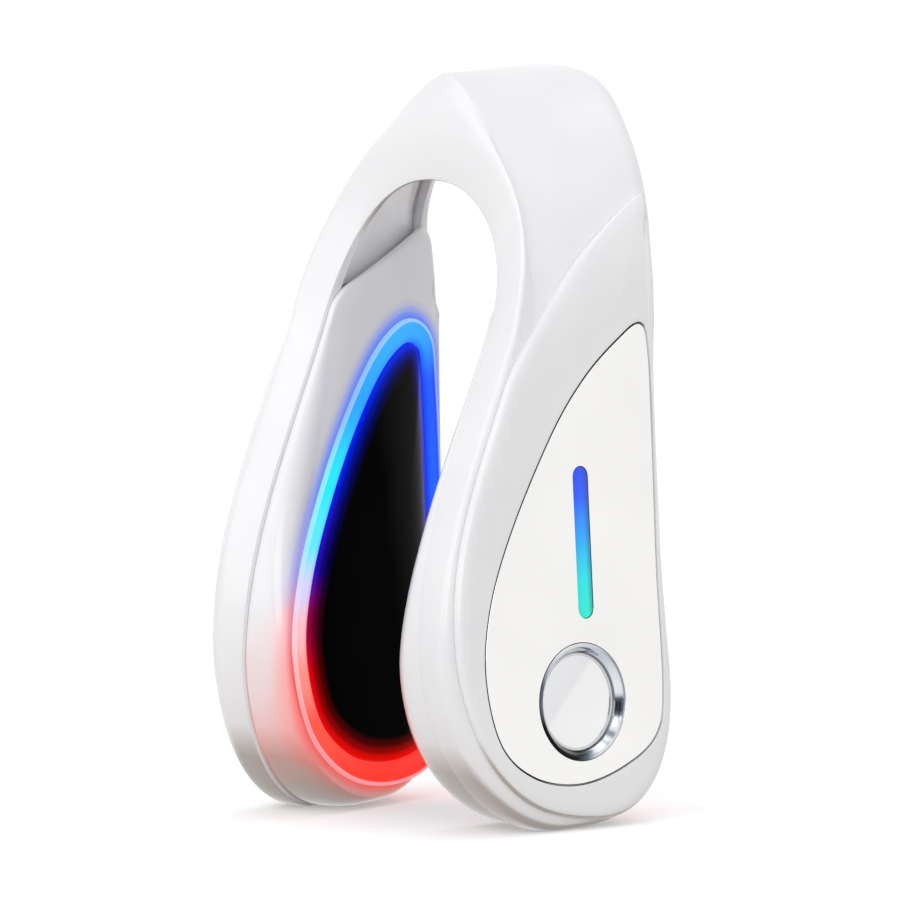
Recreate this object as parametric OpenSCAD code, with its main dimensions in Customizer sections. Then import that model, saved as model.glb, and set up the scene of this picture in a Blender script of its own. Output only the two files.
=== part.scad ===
// Nose clip with light rings: two teardrop arms hung from a springy arch.
// +X towards the arm with the button, -Y the bulging front edge, +Z up.

/* [Arms] */
// Height at which the teardrop lobe of an arm is widest
lobe_w = 17.6; // [17:0.1:18.2]
// Reach of the lobe to the front of its centre
lobe_front = 15.1; // [14.8:0.1:15.4]
// Reach of the lobe to the back of its centre
lobe_back = 14.4; // [14.2:0.1:14.8]
// Toe-in of the arms towards the front, in degrees
toe = 7; // [6:0.5:8]
// Splay of the arms towards the bottom, in degrees
splay = 3.8; // [3:0.2:4.6]
// Half of the gap between the two seam planes, at mid depth and floor level
half_gap = 14.14; // [13.8:0.1:14.6]

/* [Arch] */
// Inner height of the arch at its front edge
arch_inner = 60.6; // [60.2:0.1:61]
// Overall height
clip_h = 70.9; // [70.5:0.1:71.3]
// Gap left at each bending zone
flex_gap = 0.8; // [0.7:0.1:1]

/* [Button and light bar] */
// Diameter of the button cap
button_d = 9; // [8.6:0.1:9.2]
// Outer diameter of the chrome dish around the button
dish_d = 11.1; // [11:0.1:11.3]
// Length of the light bar
bar_l = 14.3; // [12:0.1:15]
// Width of the light bar
bar_w = 1.8; // [1.4:0.1:2]

/* [Battery and motors] */
// Length of the battery
battery_l = 26; // [22:1:26]
// Width of the battery
battery_w = 12; // [10:1:12]
// Diameter of a vibration motor
motor_d = 8; // [7:0.5:8]

/* [Hidden] */
$fn = 64;

// Centre of the lobe along the depth, its points on each side, and the flat foot cut off below it
lobe_u = -2.6;
lobe_steps = 11;
foot_cut = 0.3;
// Front edge: how far it draws back from the lobe to the arch, and over what height
front_draw = 14.9;
front_rise = 46;
// Back edge: lean per millimetre of height
back_lean = 0.035;
// Path heights where the arms bend into the arch, end on it, and reach the crest
arch_w = 47;
arm_end = 60.2;
crest_w = 74;
leaf_tip = 55.1;
inner_top = [51, 53.7];
// Levels along an arm's normal, outwards from the seam plane
frame_t = 3.8;
floor_n = 2.1;
cover_n = 4.7;
plate_n = 4.62;
// Inner face: its level at the bottom, its lean over height, and its least depth
face_0 = -6.18;
face_slope = 0.11;
face_min = 1.05;
// Depths from that face: pocket, cover's wall, proud ring and pad
pocket = 0.45;
wall = 1.6;
ring_proud = 0.35;
pad_proud = 1;
// Wall of the frame's rim, lip beside the seam, groove of the inner cover
rim_t = 1.7;
lip = 0.45;
groove = 0.4;
// Clearances: glued faces, covers on the frame and on its curved neck, parts let into a pocket,
// sliding and turning fits
glue = 0.05;
cover_gap = 0.15;
neck_gap = 0.36;
reveal = 0.12;
fit = 0.08;
// Places on an arm, as depth and height
button_at = [-1, 12.2];
bar_at = [0, 27.25];
motor_at = [2.6, 42.4];
port_at = [11.6, 20.2];
battery_at = [0.9, 21.3];
screws_at = [[-1, 37], [-7.4, 17], [4.6, 6.4]];
posts_at = [[-4.6, 32.4], [5.2, 32.4], [5.2, 12.6]];
// Button and switch, as levels
button_travel = 0.5;
button_top = 3.85;
flange_n = 1.5;
flange_t = 0.5;
board_n = -0.2;
board_t = 0.6;
board_at = [0.15, 21.6];
board_size = [12.7, 26.4];
port_size = [4.9, 7.4];
port_n = [-0.4, 1.95];
// Cuts run past a face by over, joined solids into each other by sink; slack round loose parts
over = 1;
sink = 0.5;
slack = 0.2;
// Small sizes: ring, lights, boards, covers' wall and tip, screws, motor, switch, tape
ring_w = 2.3;
light_size = 1.5;
light_hole_d = 2.55;
light_gap = 0.15;
light_board_t = 0.4;
board_in = 1.1;
board_top = 37.4;
cover_wall = 1.6;
tip_in = [0.5, 0.6];
boss_d = 3.2;
boss_gap = 0.25;
post_d = 2;
screw_end = 0.7;
screw_d = 1.3;
head_d = 2.4;
head_t = 0.45;
motor_wall = 0.3;
can_n = -0.25;
shaft_n = 0.1;
weight_n = [0.45, 1.55];
weight_gap = 0.7;
shaft_d = 0.8;
plunger_d = 1.6;
switch_t = 0.55;
tape_t = 0.1;
pad_centre = [0.5, 19];
// Channel inside the arch, as shares of its depth and thickness
channel_f = [0.1, 0.92];
channel_v = 0.6;
liner_v = [0.22, 0.48];
cable_v = [0.52, 0.56];

white = [0.93, 0.93, 0.95];
metal = [0.75, 0.76, 0.78];
board_green = [0.1, 0.35, 0.2];
dark = [0.08, 0.08, 0.09];

function mix(a, b, t) = a + (b - a) * t;
function rise(a, b, x) = let (t = max(0, min(1, (x - a) / (b - a)))) t * t * (3 - 2 * t);

// Closed smooth curve through the points of c, k samples to each stretch
function curve(c, k) = [for (i = [0 : len(c) - 1], j = [0 : k - 1])
    let (m = len(c), t = j / k, p0 = c[(i + m - 1) % m], p1 = c[i],
        p2 = c[(i + 1) % m], p3 = c[(i + 2) % m])
        0.5 * (2 * p1 + (p2 - p0) * t + (2 * p0 - 5 * p1 + 4 * p2 - p3) * t * t
        + (3 * p1 - p0 - 3 * p2 + p3) * t * t * t)];

// Solid skin over a stack of loops; each end is closed by strips across it
module skin(stack, reverse = false) {
    loops = reverse ? [for (i = [len(stack) - 1 : -1 : 0]) stack[i]] : stack;
    n = len(loops[0]);
    m = len(loops);
    sides = [for (i = [0 : m - 2], j = [0 : n - 1])
        let (a = i * n + j, b = i * n + (j + 1) % n)
            each [[a, b + n, b], [a, a + n, b + n]]];
    ends = [for (e = [0, m - 1], j = [0 : n / 2 - 2])
        let (a = e * n + j, b = a + 1, c = e * n + n - 2 - j, d = c + 1)
            each e == 0 ? [[a, b, c], [a, c, d]] : [[a, c, b], [a, d, c]]];
    polyhedron([for (l = loops) each l], concat(sides, ends));
}

// Front and back edges of an arm, as depth over height
function front_u(w) = w >= lobe_w
    ? lobe_u - lobe_front + front_draw * (1 - cos(180 * (min(w, 62) - lobe_w) / front_rise)) / 2
    : lobe_u - lobe_front * pow(1 - pow((lobe_w - w) / lobe_w, 1.9), 1 / 1.9);
function back_u(w) = lobe_u + lobe_back + back_lean * (w - lobe_w);
// Edge of the outer cover: along the frame's edge, then across the neck to its tip
function leaf_u(w) = front_u(w) + 0.094 * pow(max(w - 43.2, 0), 1.7) + 0.16 * pow(max(w - 49.5, 0), 2.2);
// Radius of the frame's outer edge: at the front, at the back, and blended round the lobe
function front_r(w) = mix(1.5, 0.6, rise(10, 30, w));
function back_r(w) = mix(1.6, 3.1, rise(10, 45, w)) - rise(50, 60, w);
function edge_r(p) = mix(front_r(p[1]), back_r(p[1]), rise(-6, 6, p[0]));
// Distance of the outer cover's edge from the frame's: small at the front, widening up the back
function cover_in(p) = let (neck = p[1] > 40, f = neck ? leaf_u(p[1]) : -6, b = neck ? back_u(p[1]) : 6)
    mix(front_r(p[1]) + 0.1, 0.3 + 1.9 * rise(6, 34, p[1]) - 0.5 * rise(48, 55, p[1]), rise(f, b, p[0]));

// A point of an arm: depth u, height w, distance n outwards from the seam plane
u_dir = [sin(toe), cos(toe), 0];
n_dir = [cos(toe) * cos(splay), -sin(toe) * cos(splay), sin(splay)];
w_dir = [-cos(toe) * sin(splay), sin(toe) * sin(splay), cos(splay)];
function on_arm(u, w, n) =
    let (p = [half_gap, 0, 0] + u_dir * u + w_dir * (w - foot_cut) + n_dir * n)
        [p[0], p[1], max(0, p[2])];

// Edges of the arch, turned by a from 0 at the arm to 90 at the crest
function arc(from, top, e, a, y) = [from[0] * pow(cos(a), 2 / e), y,
    from[2] + (top - from[2]) * pow(sin(a), 2 / e)];
function front_y(a) = let (w = mix(arch_w, arch_inner, pow(sin(a), 2 / 2.1)))
    on_arm(front_u(arch_w), arch_w, 0)[1] + front_u(w) - front_u(arch_w);
function back_y(a) = on_arm(back_u(arch_w), arch_w, frame_t)[1] + 4.8 * pow(sin(a), 7);
function in_front(a) = arc(on_arm(front_u(arch_w), arch_w, 0), arch_inner, 2.1, a, front_y(a));
function out_front(a) = let (p = on_arm(front_u(arch_w), arch_w, frame_t))
    arc(p, clip_h - 4.5, 2.15, a, front_y(a) + mix(p[1] - front_y(0), 0.5, rise(0, 40, a)));
function crest(a) = let (p = on_arm(mix(front_u(arch_w), back_u(arch_w), 0.14), arch_w, frame_t))
    arc(p, clip_h, 1.42, a, mix(p[1], -0.5, pow(sin(a), 1.2)));
function out_back(a) = arc(on_arm(back_u(arch_w), arch_w, frame_t), clip_h - 0.1, 2.6, a, back_y(a));
function in_back(a) = arc(on_arm(back_u(arch_w), arch_w, 0), clip_h - 4, 2.5, a, back_y(a))
    + [1.2 * rise(0, 25, a) * (1 - rise(60, 90, a)), 0, 0];
function out_edge(a, f) = f < 0.14 ? mix(out_front(a), crest(a), f / 0.14)
    : mix(crest(a), out_back(a), (f - 0.14) / 0.86);

// A point of the arch: share f of its depth, turn a, share v of its thickness, x beyond that
function on_arch(f, a, v, x = 0) =
    let (b = a > 90 ? 180 - a : a, i = mix(in_front(b), in_back(b), f), o = out_edge(b, f),
        p = mix(i, o, v) + x * (o - i) / norm(o - i))
        a > 90 ? [-p[0], p[1], p[2]] : p;

// A point of the right half of the clip: depth and path height, and level
function turn(w) = 90 * (w - arch_w) / (crest_w - arch_w);
function on_clip(p, n) = p[1] <= arch_w ? on_arm(p[0], p[1], n)
    : let (f = (p[0] - front_u(p[1])) / (back_u(p[1]) - front_u(p[1])))
        on_arch(f, turn(p[1]), max(0, min(1, n / frame_t)), n < 0 ? n : max(0, n - frame_t));

// Outline of an arm, drawn in by d; its top runs from w_f at the front to w_b at the back
function outline(edge, d, w_f, w_b) =
    let (top = function (t) [mix(edge(w_f) + d, back_u(w_b) - d, t), mix(w_f, w_b, t)],
        lobe = function (a, r, e) [r * pow(cos(a), 2 / e) + lobe_u,
            lobe_w - (lobe_w - d) * pow(sin(a), 2 / e)],
        turns = [for (i = [1 : lobe_steps]) 87 * i / lobe_steps])
    concat(
        [for (t = [0.42, 0.28, 0.14]) top(t)],
        [for (i = [0 : 14]) let (w = mix(w_f, lobe_w, pow(i / 14, 1.25))) [edge(w) + d, w]],
        [for (a = turns) lobe(a, d - lobe_front, 1.9)],
        [for (i = [lobe_steps - 1 : -1 : 0]) lobe(turns[i], lobe_back - d, 3)],
        [for (i = [14 : -1 : 0]) let (w = mix(w_b, lobe_w, pow(i / 14, 1.25))) [back_u(w) - d, w]],
        [for (t = [0.86, 0.72, 0.58]) top(t)]);

// Loop a drawn in towards loop b, a millimetre inside it, and laid on the clip; inset and level are
// functions of each point
function laid(a, b, d, n) = [for (i = [0 : len(a) - 1])
    let (q = d(a[i]), m = mix(a[i], b[i], q)) on_clip(m, n(a[i], q, m))];

// A flat loop moved outwards along its own normals by d
function shifted(loop, d) = let (m = len(loop))
    [for (i = [0 : m - 1]) let (t = loop[(i + 1) % m] - loop[(i + m - 1) % m])
        loop[i] + [-t[1], t[0]] * -d / norm(t)];

// Lays flat work, drawn as depth and height, at the level n of the right arm
module at_level(n) {
    translate([half_gap, 0, 0])
        rotate([0, -splay, -toe])
            translate([n, 0, 0])
                rotate([90, 0, 90])
                    translate([0, -foot_cut])
                        children();
}

// Sheet with the given outline between two levels of the arm
module sheet(loop, n0, n1) {
    at_level(n0)
        linear_extrude(n1 - n0)
            polygon(loop);
}

// Round bar on the arm's normal between two levels
module bar(at, n0, n1, d) {
    at_level(n0)
        translate(at)
            cylinder(d = d, h = n1 - n0);
}

// Slab with rounded corners on the arm, about the point at
module slab(at, n0, n1, size, r = 0.5) {
    at_level(n0)
        translate(at)
            linear_extrude(n1 - n0)
                rounded(size, r);
}

module rounded(size, r) {
    square([size[0] - 2 * r, size[1]], center = true);
    square([size[0], size[1] - 2 * r], center = true);
    for (x = [-1, 1], y = [-1, 1])
        translate([x * (size[0] / 2 - r), y * (size[1] / 2 - r)])
            circle(r);
}

module left() {
    mirror([1, 0, 0])
        children();
}

// Outlines of the light ring and the face plate on the arm
ring_loop = curve([[6.2, 47.1], [0.9, 44.9], [-4.7, 39.4], [-10.1, 31.9], [-14.2, 24], [-15.7, 16.5],
    [-13.2, 8.6], [-6.5, 3.8], [2.2, 2.7], [8.6, 5.2], [10.6, 14], [10.8, 28], [10.7, 40],
    [10, 45.2]], 4);
plate_loop = curve([[8.6, 47.4], [5.4, 45.9], [1, 42.6], [-3.4, 37.7], [-8.9, 29.3], [-12.2, 22.2],
    [-13.25, 15.5], [-11.6, 8.9], [-7.4, 5.5], [-1.6, 4.5], [4.2, 5.8], [8.4, 8.4], [9.5, 13],
    [9.35, 24], [9.5, 35], [9.5, 44.5]], 4);
// Places of the light chips, along the middle of the ring as high as their board reaches
lights = [for (i = [0 : 5 : 47]) let (p = shifted(ring_loop, -ring_w / 2)[i]) if (p[1] < board_top - 1) p];

// Tray of an arm: rim, rounded outer edge and floor, with bosses for the cover's screws
module frame_arm() {
    edge = function (w) front_u(w);
    rim = outline(edge, 0, arm_end, arm_end);
    shorter = outline(edge, 1, arm_end - 1, arm_end - 1);
    narrower = outline(edge, 1, arm_end, arm_end);
    inside = function (n) laid(rim, shorter, function (p) rim_t, function (p, q, m) n);
    outside = function (d, n) laid(rim, narrower, d, n);
    difference() {
        union() {
            skin(concat([inside(floor_n), inside(0)],
                [for (s = [[lip, 0], [0.12, 0.12], [0, 0.4]])
                    outside(function (p) s[0], function (p, q, m) s[1])],
                [for (t = [0 : 30 : 90]) outside(function (p) edge_r(p) * (1 - cos(t)),
                    function (p, q, m) frame_t - edge_r(p) * (1 - sin(t)))]));
            for (s = screws_at)
                bar(s, roof_n(s[1]) + boss_gap, floor_n + sink, boss_d);
        }
        for (s = screws_at)
            bar(s, roof_n(s[1]), floor_n + screw_end + slack, screw_d + 2 * glue);
    }
}

// Level of the frame's outer surface at the point m, which lies q inside the frame's edge at p
function drop(r, q) = let (x = max(0, r - q)) r - sqrt(r * r - x * x);
function frame_top(p, q, m) = m[1] <= lobe_w ? frame_t - drop(edge_r(p), q)
    : frame_t - drop(back_r(m[1]), back_u(m[1]) - m[0]) - drop(front_r(m[1]), m[0] - front_u(m[1]));

// Leaf-shaped outer cover, wrapped over the frame's soft back edge
module outer_cover() {
    edge = function (w) leaf_u(w);
    wide = outline(edge, 0, leaf_tip, leaf_tip);
    narrow = outline(edge, 1, leaf_tip, leaf_tip);
    rim = [for (i = [0 : len(wide) - 1]) mix(wide[i], narrow[i], cover_in(wide[i]))];
    square_in = shifted(rim, -1);
    inner = [for (i = [0 : len(rim) - 1]) rim[i][1] < leaf_tip - over ? square_in[i] : rim[i] - tip_in];
    layer = function (d, lift) laid(rim, inner,
        function (p) d * mix(1, 0.3, rise(50, leaf_tip, p[1])),
        function (p, q, m) min(cover_n, frame_top(p, cover_in(p) + q, m)
            + max(lift, mix(cover_gap, neck_gap, rise(44, 50, m[1])))));
    difference() {
        skin([layer(2.2, cover_gap), layer(0.9, cover_gap), layer(0, cover_gap), layer(0, 0.45),
            layer(0.2, 0.7), layer(0.6, 0.85), layer(1.2, 0.9), layer(1.8, 0.9)]);
        sheet(shifted(plate_loop, reveal), frame_t - 2 * over, cover_n + over);
    }
}

module face_plate() {
    sheet(plate_loop, frame_t + cover_gap, plate_n);
}

// Level of the inner face, and of the cover's inner side, over height
function face_n(w) = min(face_0 + face_slope * w, -face_min);
function roof_n(w) = min(face_n(w) + wall, -0.3);

// Lays flat work on the leaning inner face of the right arm, d below it
module at_face(d) {
    at_level(face_0)
        rotate([atan(face_slope), 0, 0])
            translate([0, 0, d])
                children();
}

// Inner cover: bulging border, pocket for the ring and the pad, holes for lights and screws
module inner_cover() {
    border = function (p) mix(mix(mix(1.5, 3.4, rise(16, 34, p[1])), 0.8, rise(-8, 9, p[0])),
        1.9, 1 - rise(2, 10, p[1]));
    edge = function (w) front_u(w);
    rim = outline(edge, 0, inner_top[0], inner_top[1]);
    drawn = outline(edge, 1, inner_top[0] - 1, inner_top[1] - 1);
    layer = function (d, n) laid(rim, drawn, d, n);
    flat = function (p, q, m) -cover_gap;
    difference() {
        skin(concat([layer(function (p) cover_wall, function (p, q, m) roof_n(m[1])),
            layer(function (p) cover_wall, flat), layer(function (p) groove + 0.1, flat),
            layer(function (p) groove, function (p, q, m) -0.25)],
            [for (t = [0, 25, 50, 70, 90]) layer(function (p) groove + border(p) * (1 - cos(t)),
                function (p, q, m) mix(-0.5, face_n(m[1]), sin(t)))]), true);
        at_face(-3 * over)
            linear_extrude(3 * over + pocket)
                polygon(shifted(ring_loop, reveal / 2));
        for (p = lights)
            at_face(-over)
                translate(p)
                    cylinder(d = light_hole_d, h = 2 * wall + over);
        for (s = screws_at) {
            bar(s, face_n(s[1]) - over, over, screw_d + slack);
            bar(s, face_n(s[1]) - over, face_n(s[1]) + pocket + head_t + slack, head_d + slack);
        }
    }
}

module light_ring() {
    at_face(-ring_proud)
        linear_extrude(ring_proud + pocket - glue)
            difference() {
                polygon(shifted(ring_loop, -glue));
                polygon(shifted(ring_loop, -ring_w));
            }
}

module contact_pad() {
    rim = shifted(ring_loop, -ring_w - glue);
    at_face(0)
        skin([for (s = [[0, pocket - glue], [0, -0.1], [0.05, -0.35], [0.25, -0.85], [0.6, -pad_proud]])
            [for (p = rim) let (q = mix(p, pad_centre, s[0])) [q[0], q[1], s[1]]]], true);
}

module led_board() {
    at_face(wall + glue)
        linear_extrude(light_board_t)
            difference() {
                intersection() {
                    polygon(shifted(ring_loop, -board_in));
                    translate([-20, 0])
                        square([40, board_top]);
                }
                for (s = screws_at)
                    translate([s[0], s[1] + face_slope * wall])
                        circle(d = boss_d + 0.7);
            }
}

// Light chips on the board, let into the cover behind the ring
module leds() {
    for (p = lights)
        at_face(pocket + light_gap)
            translate(p)
                linear_extrude(wall + glue - pocket - light_gap)
                    rounded([light_size, light_size], 0.2);
}

module cover_screws() {
    for (s = screws_at) {
        n = face_n(s[1]) + pocket + light_gap;
        bar(s, n, n + head_t, head_d);
        bar(s, n + head_t - glue, floor_n + screw_end, screw_d);
    }
}

// Vibration motor: base with a fixed shaft, half-round weight turning on it, can over both
module motor_base() {
    bar(motor_at, floor_n - glue - motor_wall, floor_n - glue, motor_d);
    bar(motor_at, shaft_n, floor_n - glue, shaft_d);
}
module motor_weight() {
    at_level(weight_n[0])
        translate(motor_at)
            linear_extrude(weight_n[1] - weight_n[0])
                difference() {
                    union() {
                        circle(d = shaft_d + 2 * weight_gap);
                        intersection() {
                            circle(d = motor_d - 2 * weight_gap);
                            translate([-motor_d / 2, 0])
                                square([motor_d, motor_d / 2]);
                        }
                    }
                    circle(d = shaft_d + 2 * fit);
                }
}
module motor_can() {
    difference() {
        bar(motor_at, can_n, floor_n - glue - motor_wall, motor_d);
        bar(motor_at, can_n + motor_wall, floor_n, motor_d - 2 * motor_wall);
    }
}

// Strip along the arch with the given section, as pairs of shares; turned from a0 to a1
module strip(outer, inner, a0, a1, steps) {
    section = concat(outer, [for (i = [len(inner) - 1 : -1 : 0]) inner[i]]);
    skin([for (i = [0 : steps]) let (a = mix(a0, a1, i / steps))
        [for (s = section) on_arch(s[0], a, s[1])]], true);
}

// Arch above the bending zones: a channel open towards the nose
module frame_bridge() {
    a = turn(arm_end + flex_gap);
    f0 = channel_f[0];
    f1 = channel_f[1];
    v = channel_v;
    along = [0.75, 0.6, 0.45, 0.3, 0.2, 0.14];
    color(white)
        strip(
            concat([[1, 0.45], [0.985, 0.78], [0.95, 0.94], [0.885, 1]], [for (f = along) [f, 1]],
                [[0.07, 1], [0.015, 0.98], [0, 0.9], [0, 0.5], [0, 0.06], [0.012, 0]]),
            concat([[0.99, 0], [f1, 0], [f1 - 0.005, v], [0.85, v]], [for (f = along) [f, v]],
                [[f0 + 0.01, v], [f0, 0.45], [f0, 0.3], [f0, 0.1], [f0 - 0.01, 0], [f0 - 0.015, 0]]),
            a, 180 - a, 28);
}

// Liner strip with bevelled edges, in the channel of the arch or of an arm's neck; f are its edges
module liner(f, a0, a1, steps) {
    v0 = liner_v[0];
    v1 = liner_v[1];
    vm = mix(v0, v1, 0.6);
    strip([[f[1], v1 - 0.02], [0.82, v1], [0.2, v1], [f[0], v1 - 0.02]],
        [[f[1], vm], [0.82, v0], [0.2, v0], [f[0], vm]], a0, a1, steps);
}
module bridge_liner() {
    a = turn(arm_end + flex_gap);
    color(white)
        liner([0.105, 0.905], a, 180 - a, 24);
}
module bridge_cable() {
    a = turn(arm_end + flex_gap);
    edges = [0.62, 0.4];
    color([0.8, 0.5, 0.2])
        strip([for (f = edges) [f, cable_v[1]]], [for (f = edges) [f, cable_v[0]]], a, 180 - a, 24);
}
module neck_liner() {
    liner([0.12, 0.88], turn(51), turn(arm_end - rim_t - 0.3), 8);
}

// Slot through the back edge for the charging port
module port_hole() {
    slab(port_at, port_n[0] - slack / 2, port_n[1] + slack / 2, port_size + [0.1, 1.5 * slack], 0.4);
}
module frame_arm_right() {
    color(white)
        difference() {
            union() {
                frame_arm();
                for (p = posts_at)
                    bar(p, board_n + board_t + glue, floor_n + sink, post_d);
            }
            bar(button_at, floor_n - over, frame_t + over, button_d + 2 * fit);
            slab(bar_at, floor_n - over, frame_t + over, [bar_w + slack, bar_l + slack], 0.45 * bar_w);
            port_hole();
        }
}
module neck_liner_right() {
    color(white) neck_liner();
}
module outer_cover_right() {
    color(white) outer_cover();
}
module face_plate_right() {
    color(metal)
        difference() {
            face_plate();
            bar(button_at, frame_t - over, cover_n + over, dish_d + reveal);
            slab(bar_at, frame_t - over, cover_n + over, [bar_w + 2 * fit, bar_l + 2 * fit], 0.45 * bar_w);
        }
}
module inner_cover_right() {
    color(white)
        difference() {
            inner_cover();
            port_hole();
        }
}
module light_ring_right() {
    color([0.3, 0.7, 1]) light_ring();
}
module contact_pad_right() {
    color(dark) contact_pad();
}
module led_board_right() {
    color(board_green) led_board();
}
module leds_right() {
    color([1, 1, 0.9]) leds();
}
module cover_screws_right() {
    color(metal) cover_screws();
}
module motor_base_right() {
    color(metal) motor_base();
}
module motor_weight_right() {
    color(metal) motor_weight();
}
module motor_can_right() {
    color(metal) motor_can();
}

module main_board() {
    color(board_green)
        difference() {
            slab(board_at, board_n, board_n + board_t, board_size, 1);
            bar(screws_at[1], board_n - over, board_n + 2 * over, boss_d + 2 * slack);
        }
}
module board_chips() {
    n = board_n + board_t;
    color(dark) {
        slab([-3.7, 22.6], n, n + 0.85, [4, 4], 0.2);
        slab([3.6, 27.4], n, n + 0.75, [3, 4.4], 0.2);
        slab([-3.4, 28.2], n, n + 0.6, [2.4, 2.4], 0.2);
        slab([3.9, 18.4], n, n + 0.6, [2, 2], 0.2);
    }
}
module tact_switch() {
    n = board_n + board_t;
    color(metal)
        difference() {
            slab(button_at, n, n + switch_t, [3.8, 3.8], 0.4);
            bar(button_at, n - over, n + 2 * over, plunger_d + 2 * fit);
        }
}
module charging_port() {
    at = [board_at[0] + board_size[0] / 2 + glue + port_size[0] / 2, port_at[1]];
    shell_t = 0.3;
    middle = (port_n[0] + port_n[1]) / 2;
    tongue = [port_size[0] - 2 * shell_t, 4, 0.5];
    color(metal) {
        difference() {
            slab(at, port_n[0], port_n[1], port_size, shell_t);
            slab(at + [2 * shell_t, 0], port_n[0] + shell_t, port_n[1] - shell_t,
                port_size - [0, 2 * shell_t], slack);
        }
        slab(at - [slack, 0], middle - tongue[2] / 2, middle + tongue[2] / 2, [tongue[0], tongue[1]], slack);
    }
}
module bar_leds() {
    n = board_n + board_t;
    color([1, 1, 0.9])
        for (i = [0 : 3])
            slab(bar_at + [0, bar_l * (i - 1.5) / 4], n, n + 0.6, [1.2, 1.2], 0.2);
}
module bar_lens() {
    color([0, 0.5, 1])
        slab(bar_at, board_n + board_t + 0.7, plate_n + 0.03, [bar_w, bar_l], 0.45 * bar_w);
}
module button_dish() {
    r = dish_d / 2;
    bore = button_d / 2 + 0.12;
    n = frame_t + glue;
    color(metal)
        at_level(0)
            translate(button_at)
                rotate_extrude()
                    polygon([[bore, n], [r, n], [r, cover_n - 0.05], [r - 0.15, cover_n],
                        [r - 0.3, cover_n], [bore + 0.13, n + 0.15], [bore, n + 0.1]]);
}
module button_cap() {
    r = button_d / 2;
    color(white)
        difference() {
            at_level(0)
                translate(button_at)
                    rotate_extrude()
                        polygon([[0, flange_n], [r + 0.6, flange_n], [r + 0.6, flange_n + flange_t],
                            [r, flange_n + flange_t], [r, button_top - 0.2], [r - 0.2, button_top],
                            [0, button_top]]);
            bar(button_at, flange_n - over, flange_n + flange_t, plunger_d + 2 * glue);
        }
}
module switch_plunger() {
    color(dark)
        bar(button_at, flange_n - button_travel, flange_n + flange_t - glue, plunger_d);
}

module frame_arm_left() {
    color(white) left() frame_arm();
}
module neck_liner_left() {
    color(white) left() neck_liner();
}
module outer_cover_left() {
    color(white) left() outer_cover();
}
module face_plate_left() {
    color(metal) left() face_plate();
}
module inner_cover_left() {
    color(white) left() inner_cover();
}
module light_ring_left() {
    color([0.3, 0.7, 1]) left() light_ring();
}
module contact_pad_left() {
    color(dark) left() contact_pad();
}
module led_board_left() {
    color(board_green) left() led_board();
}
module leds_left() {
    color([1, 1, 0.9]) left() leds();
}
module cover_screws_left() {
    color(metal) left() cover_screws();
}
module motor_base_left() {
    color(metal) left() motor_base();
}
module motor_weight_left() {
    color(metal) left() motor_weight();
}
module motor_can_left() {
    color(metal) left() motor_can();
}
module battery() {
    color([0.7, 0.72, 0.8])
        left() slab(battery_at, -0.25, floor_n - tape_t - glue, [battery_w, battery_l], 1);
}
module battery_tape() {
    color(dark)
        left() slab(battery_at, floor_n - tape_t - glue, floor_n - glue, [battery_w - 1, battery_l - 2], 1);
}
module battery_leads() {
    color([0.8, 0.1, 0.1])
        left()
            for (x = [-4.4, -3.3])
                at_level(0.8)
                    translate([x, battery_at[1] + battery_l / 2])
                        rotate([-90, 0, 0])
                            cylinder(d = 0.8, h = 12);
}

frame_bridge();
bridge_liner();
bridge_cable();
frame_arm_right();
neck_liner_right();
outer_cover_right();
face_plate_right();
inner_cover_right();
light_ring_right();
contact_pad_right();
led_board_right();
leds_right();
cover_screws_right();
motor_base_right();
motor_weight_right();
motor_can_right();
main_board();
board_chips();
tact_switch();
charging_port();
bar_leds();
bar_lens();
button_dish();
button_cap();
switch_plunger();
frame_arm_left();
neck_liner_left();
outer_cover_left();
face_plate_left();
inner_cover_left();
light_ring_left();
contact_pad_left();
led_board_left();
leds_left();
cover_screws_left();
motor_base_left();
motor_weight_left();
motor_can_left();
battery();
battery_tape();
battery_leads();
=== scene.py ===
"""Looks of the nose clip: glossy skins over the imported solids, light rings, mirror plates and chrome dish."""

import math

import bmesh
import bpy
import numpy as np
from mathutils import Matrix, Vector


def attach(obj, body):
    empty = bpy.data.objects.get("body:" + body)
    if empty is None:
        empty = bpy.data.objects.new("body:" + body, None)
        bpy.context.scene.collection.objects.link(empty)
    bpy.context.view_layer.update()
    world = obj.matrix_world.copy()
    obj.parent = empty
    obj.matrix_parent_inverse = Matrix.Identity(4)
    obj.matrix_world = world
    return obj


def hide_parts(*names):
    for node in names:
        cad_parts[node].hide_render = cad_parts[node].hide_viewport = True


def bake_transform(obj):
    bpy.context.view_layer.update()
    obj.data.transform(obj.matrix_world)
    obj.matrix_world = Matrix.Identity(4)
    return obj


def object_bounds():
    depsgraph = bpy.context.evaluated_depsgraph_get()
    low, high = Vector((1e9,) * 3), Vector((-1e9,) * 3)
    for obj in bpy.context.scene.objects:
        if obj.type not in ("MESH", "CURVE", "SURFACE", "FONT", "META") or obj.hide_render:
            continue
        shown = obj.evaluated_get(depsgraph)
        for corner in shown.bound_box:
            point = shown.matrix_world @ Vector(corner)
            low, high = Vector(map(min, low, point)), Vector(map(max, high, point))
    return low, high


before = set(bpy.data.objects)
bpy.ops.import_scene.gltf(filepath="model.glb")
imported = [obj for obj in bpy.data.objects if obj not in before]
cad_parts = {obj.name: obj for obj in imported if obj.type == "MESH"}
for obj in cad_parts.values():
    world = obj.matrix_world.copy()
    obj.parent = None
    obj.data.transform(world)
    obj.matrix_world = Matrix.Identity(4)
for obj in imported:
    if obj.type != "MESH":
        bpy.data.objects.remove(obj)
cad_box = [list(p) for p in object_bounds()]

MM = 0.001

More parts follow.
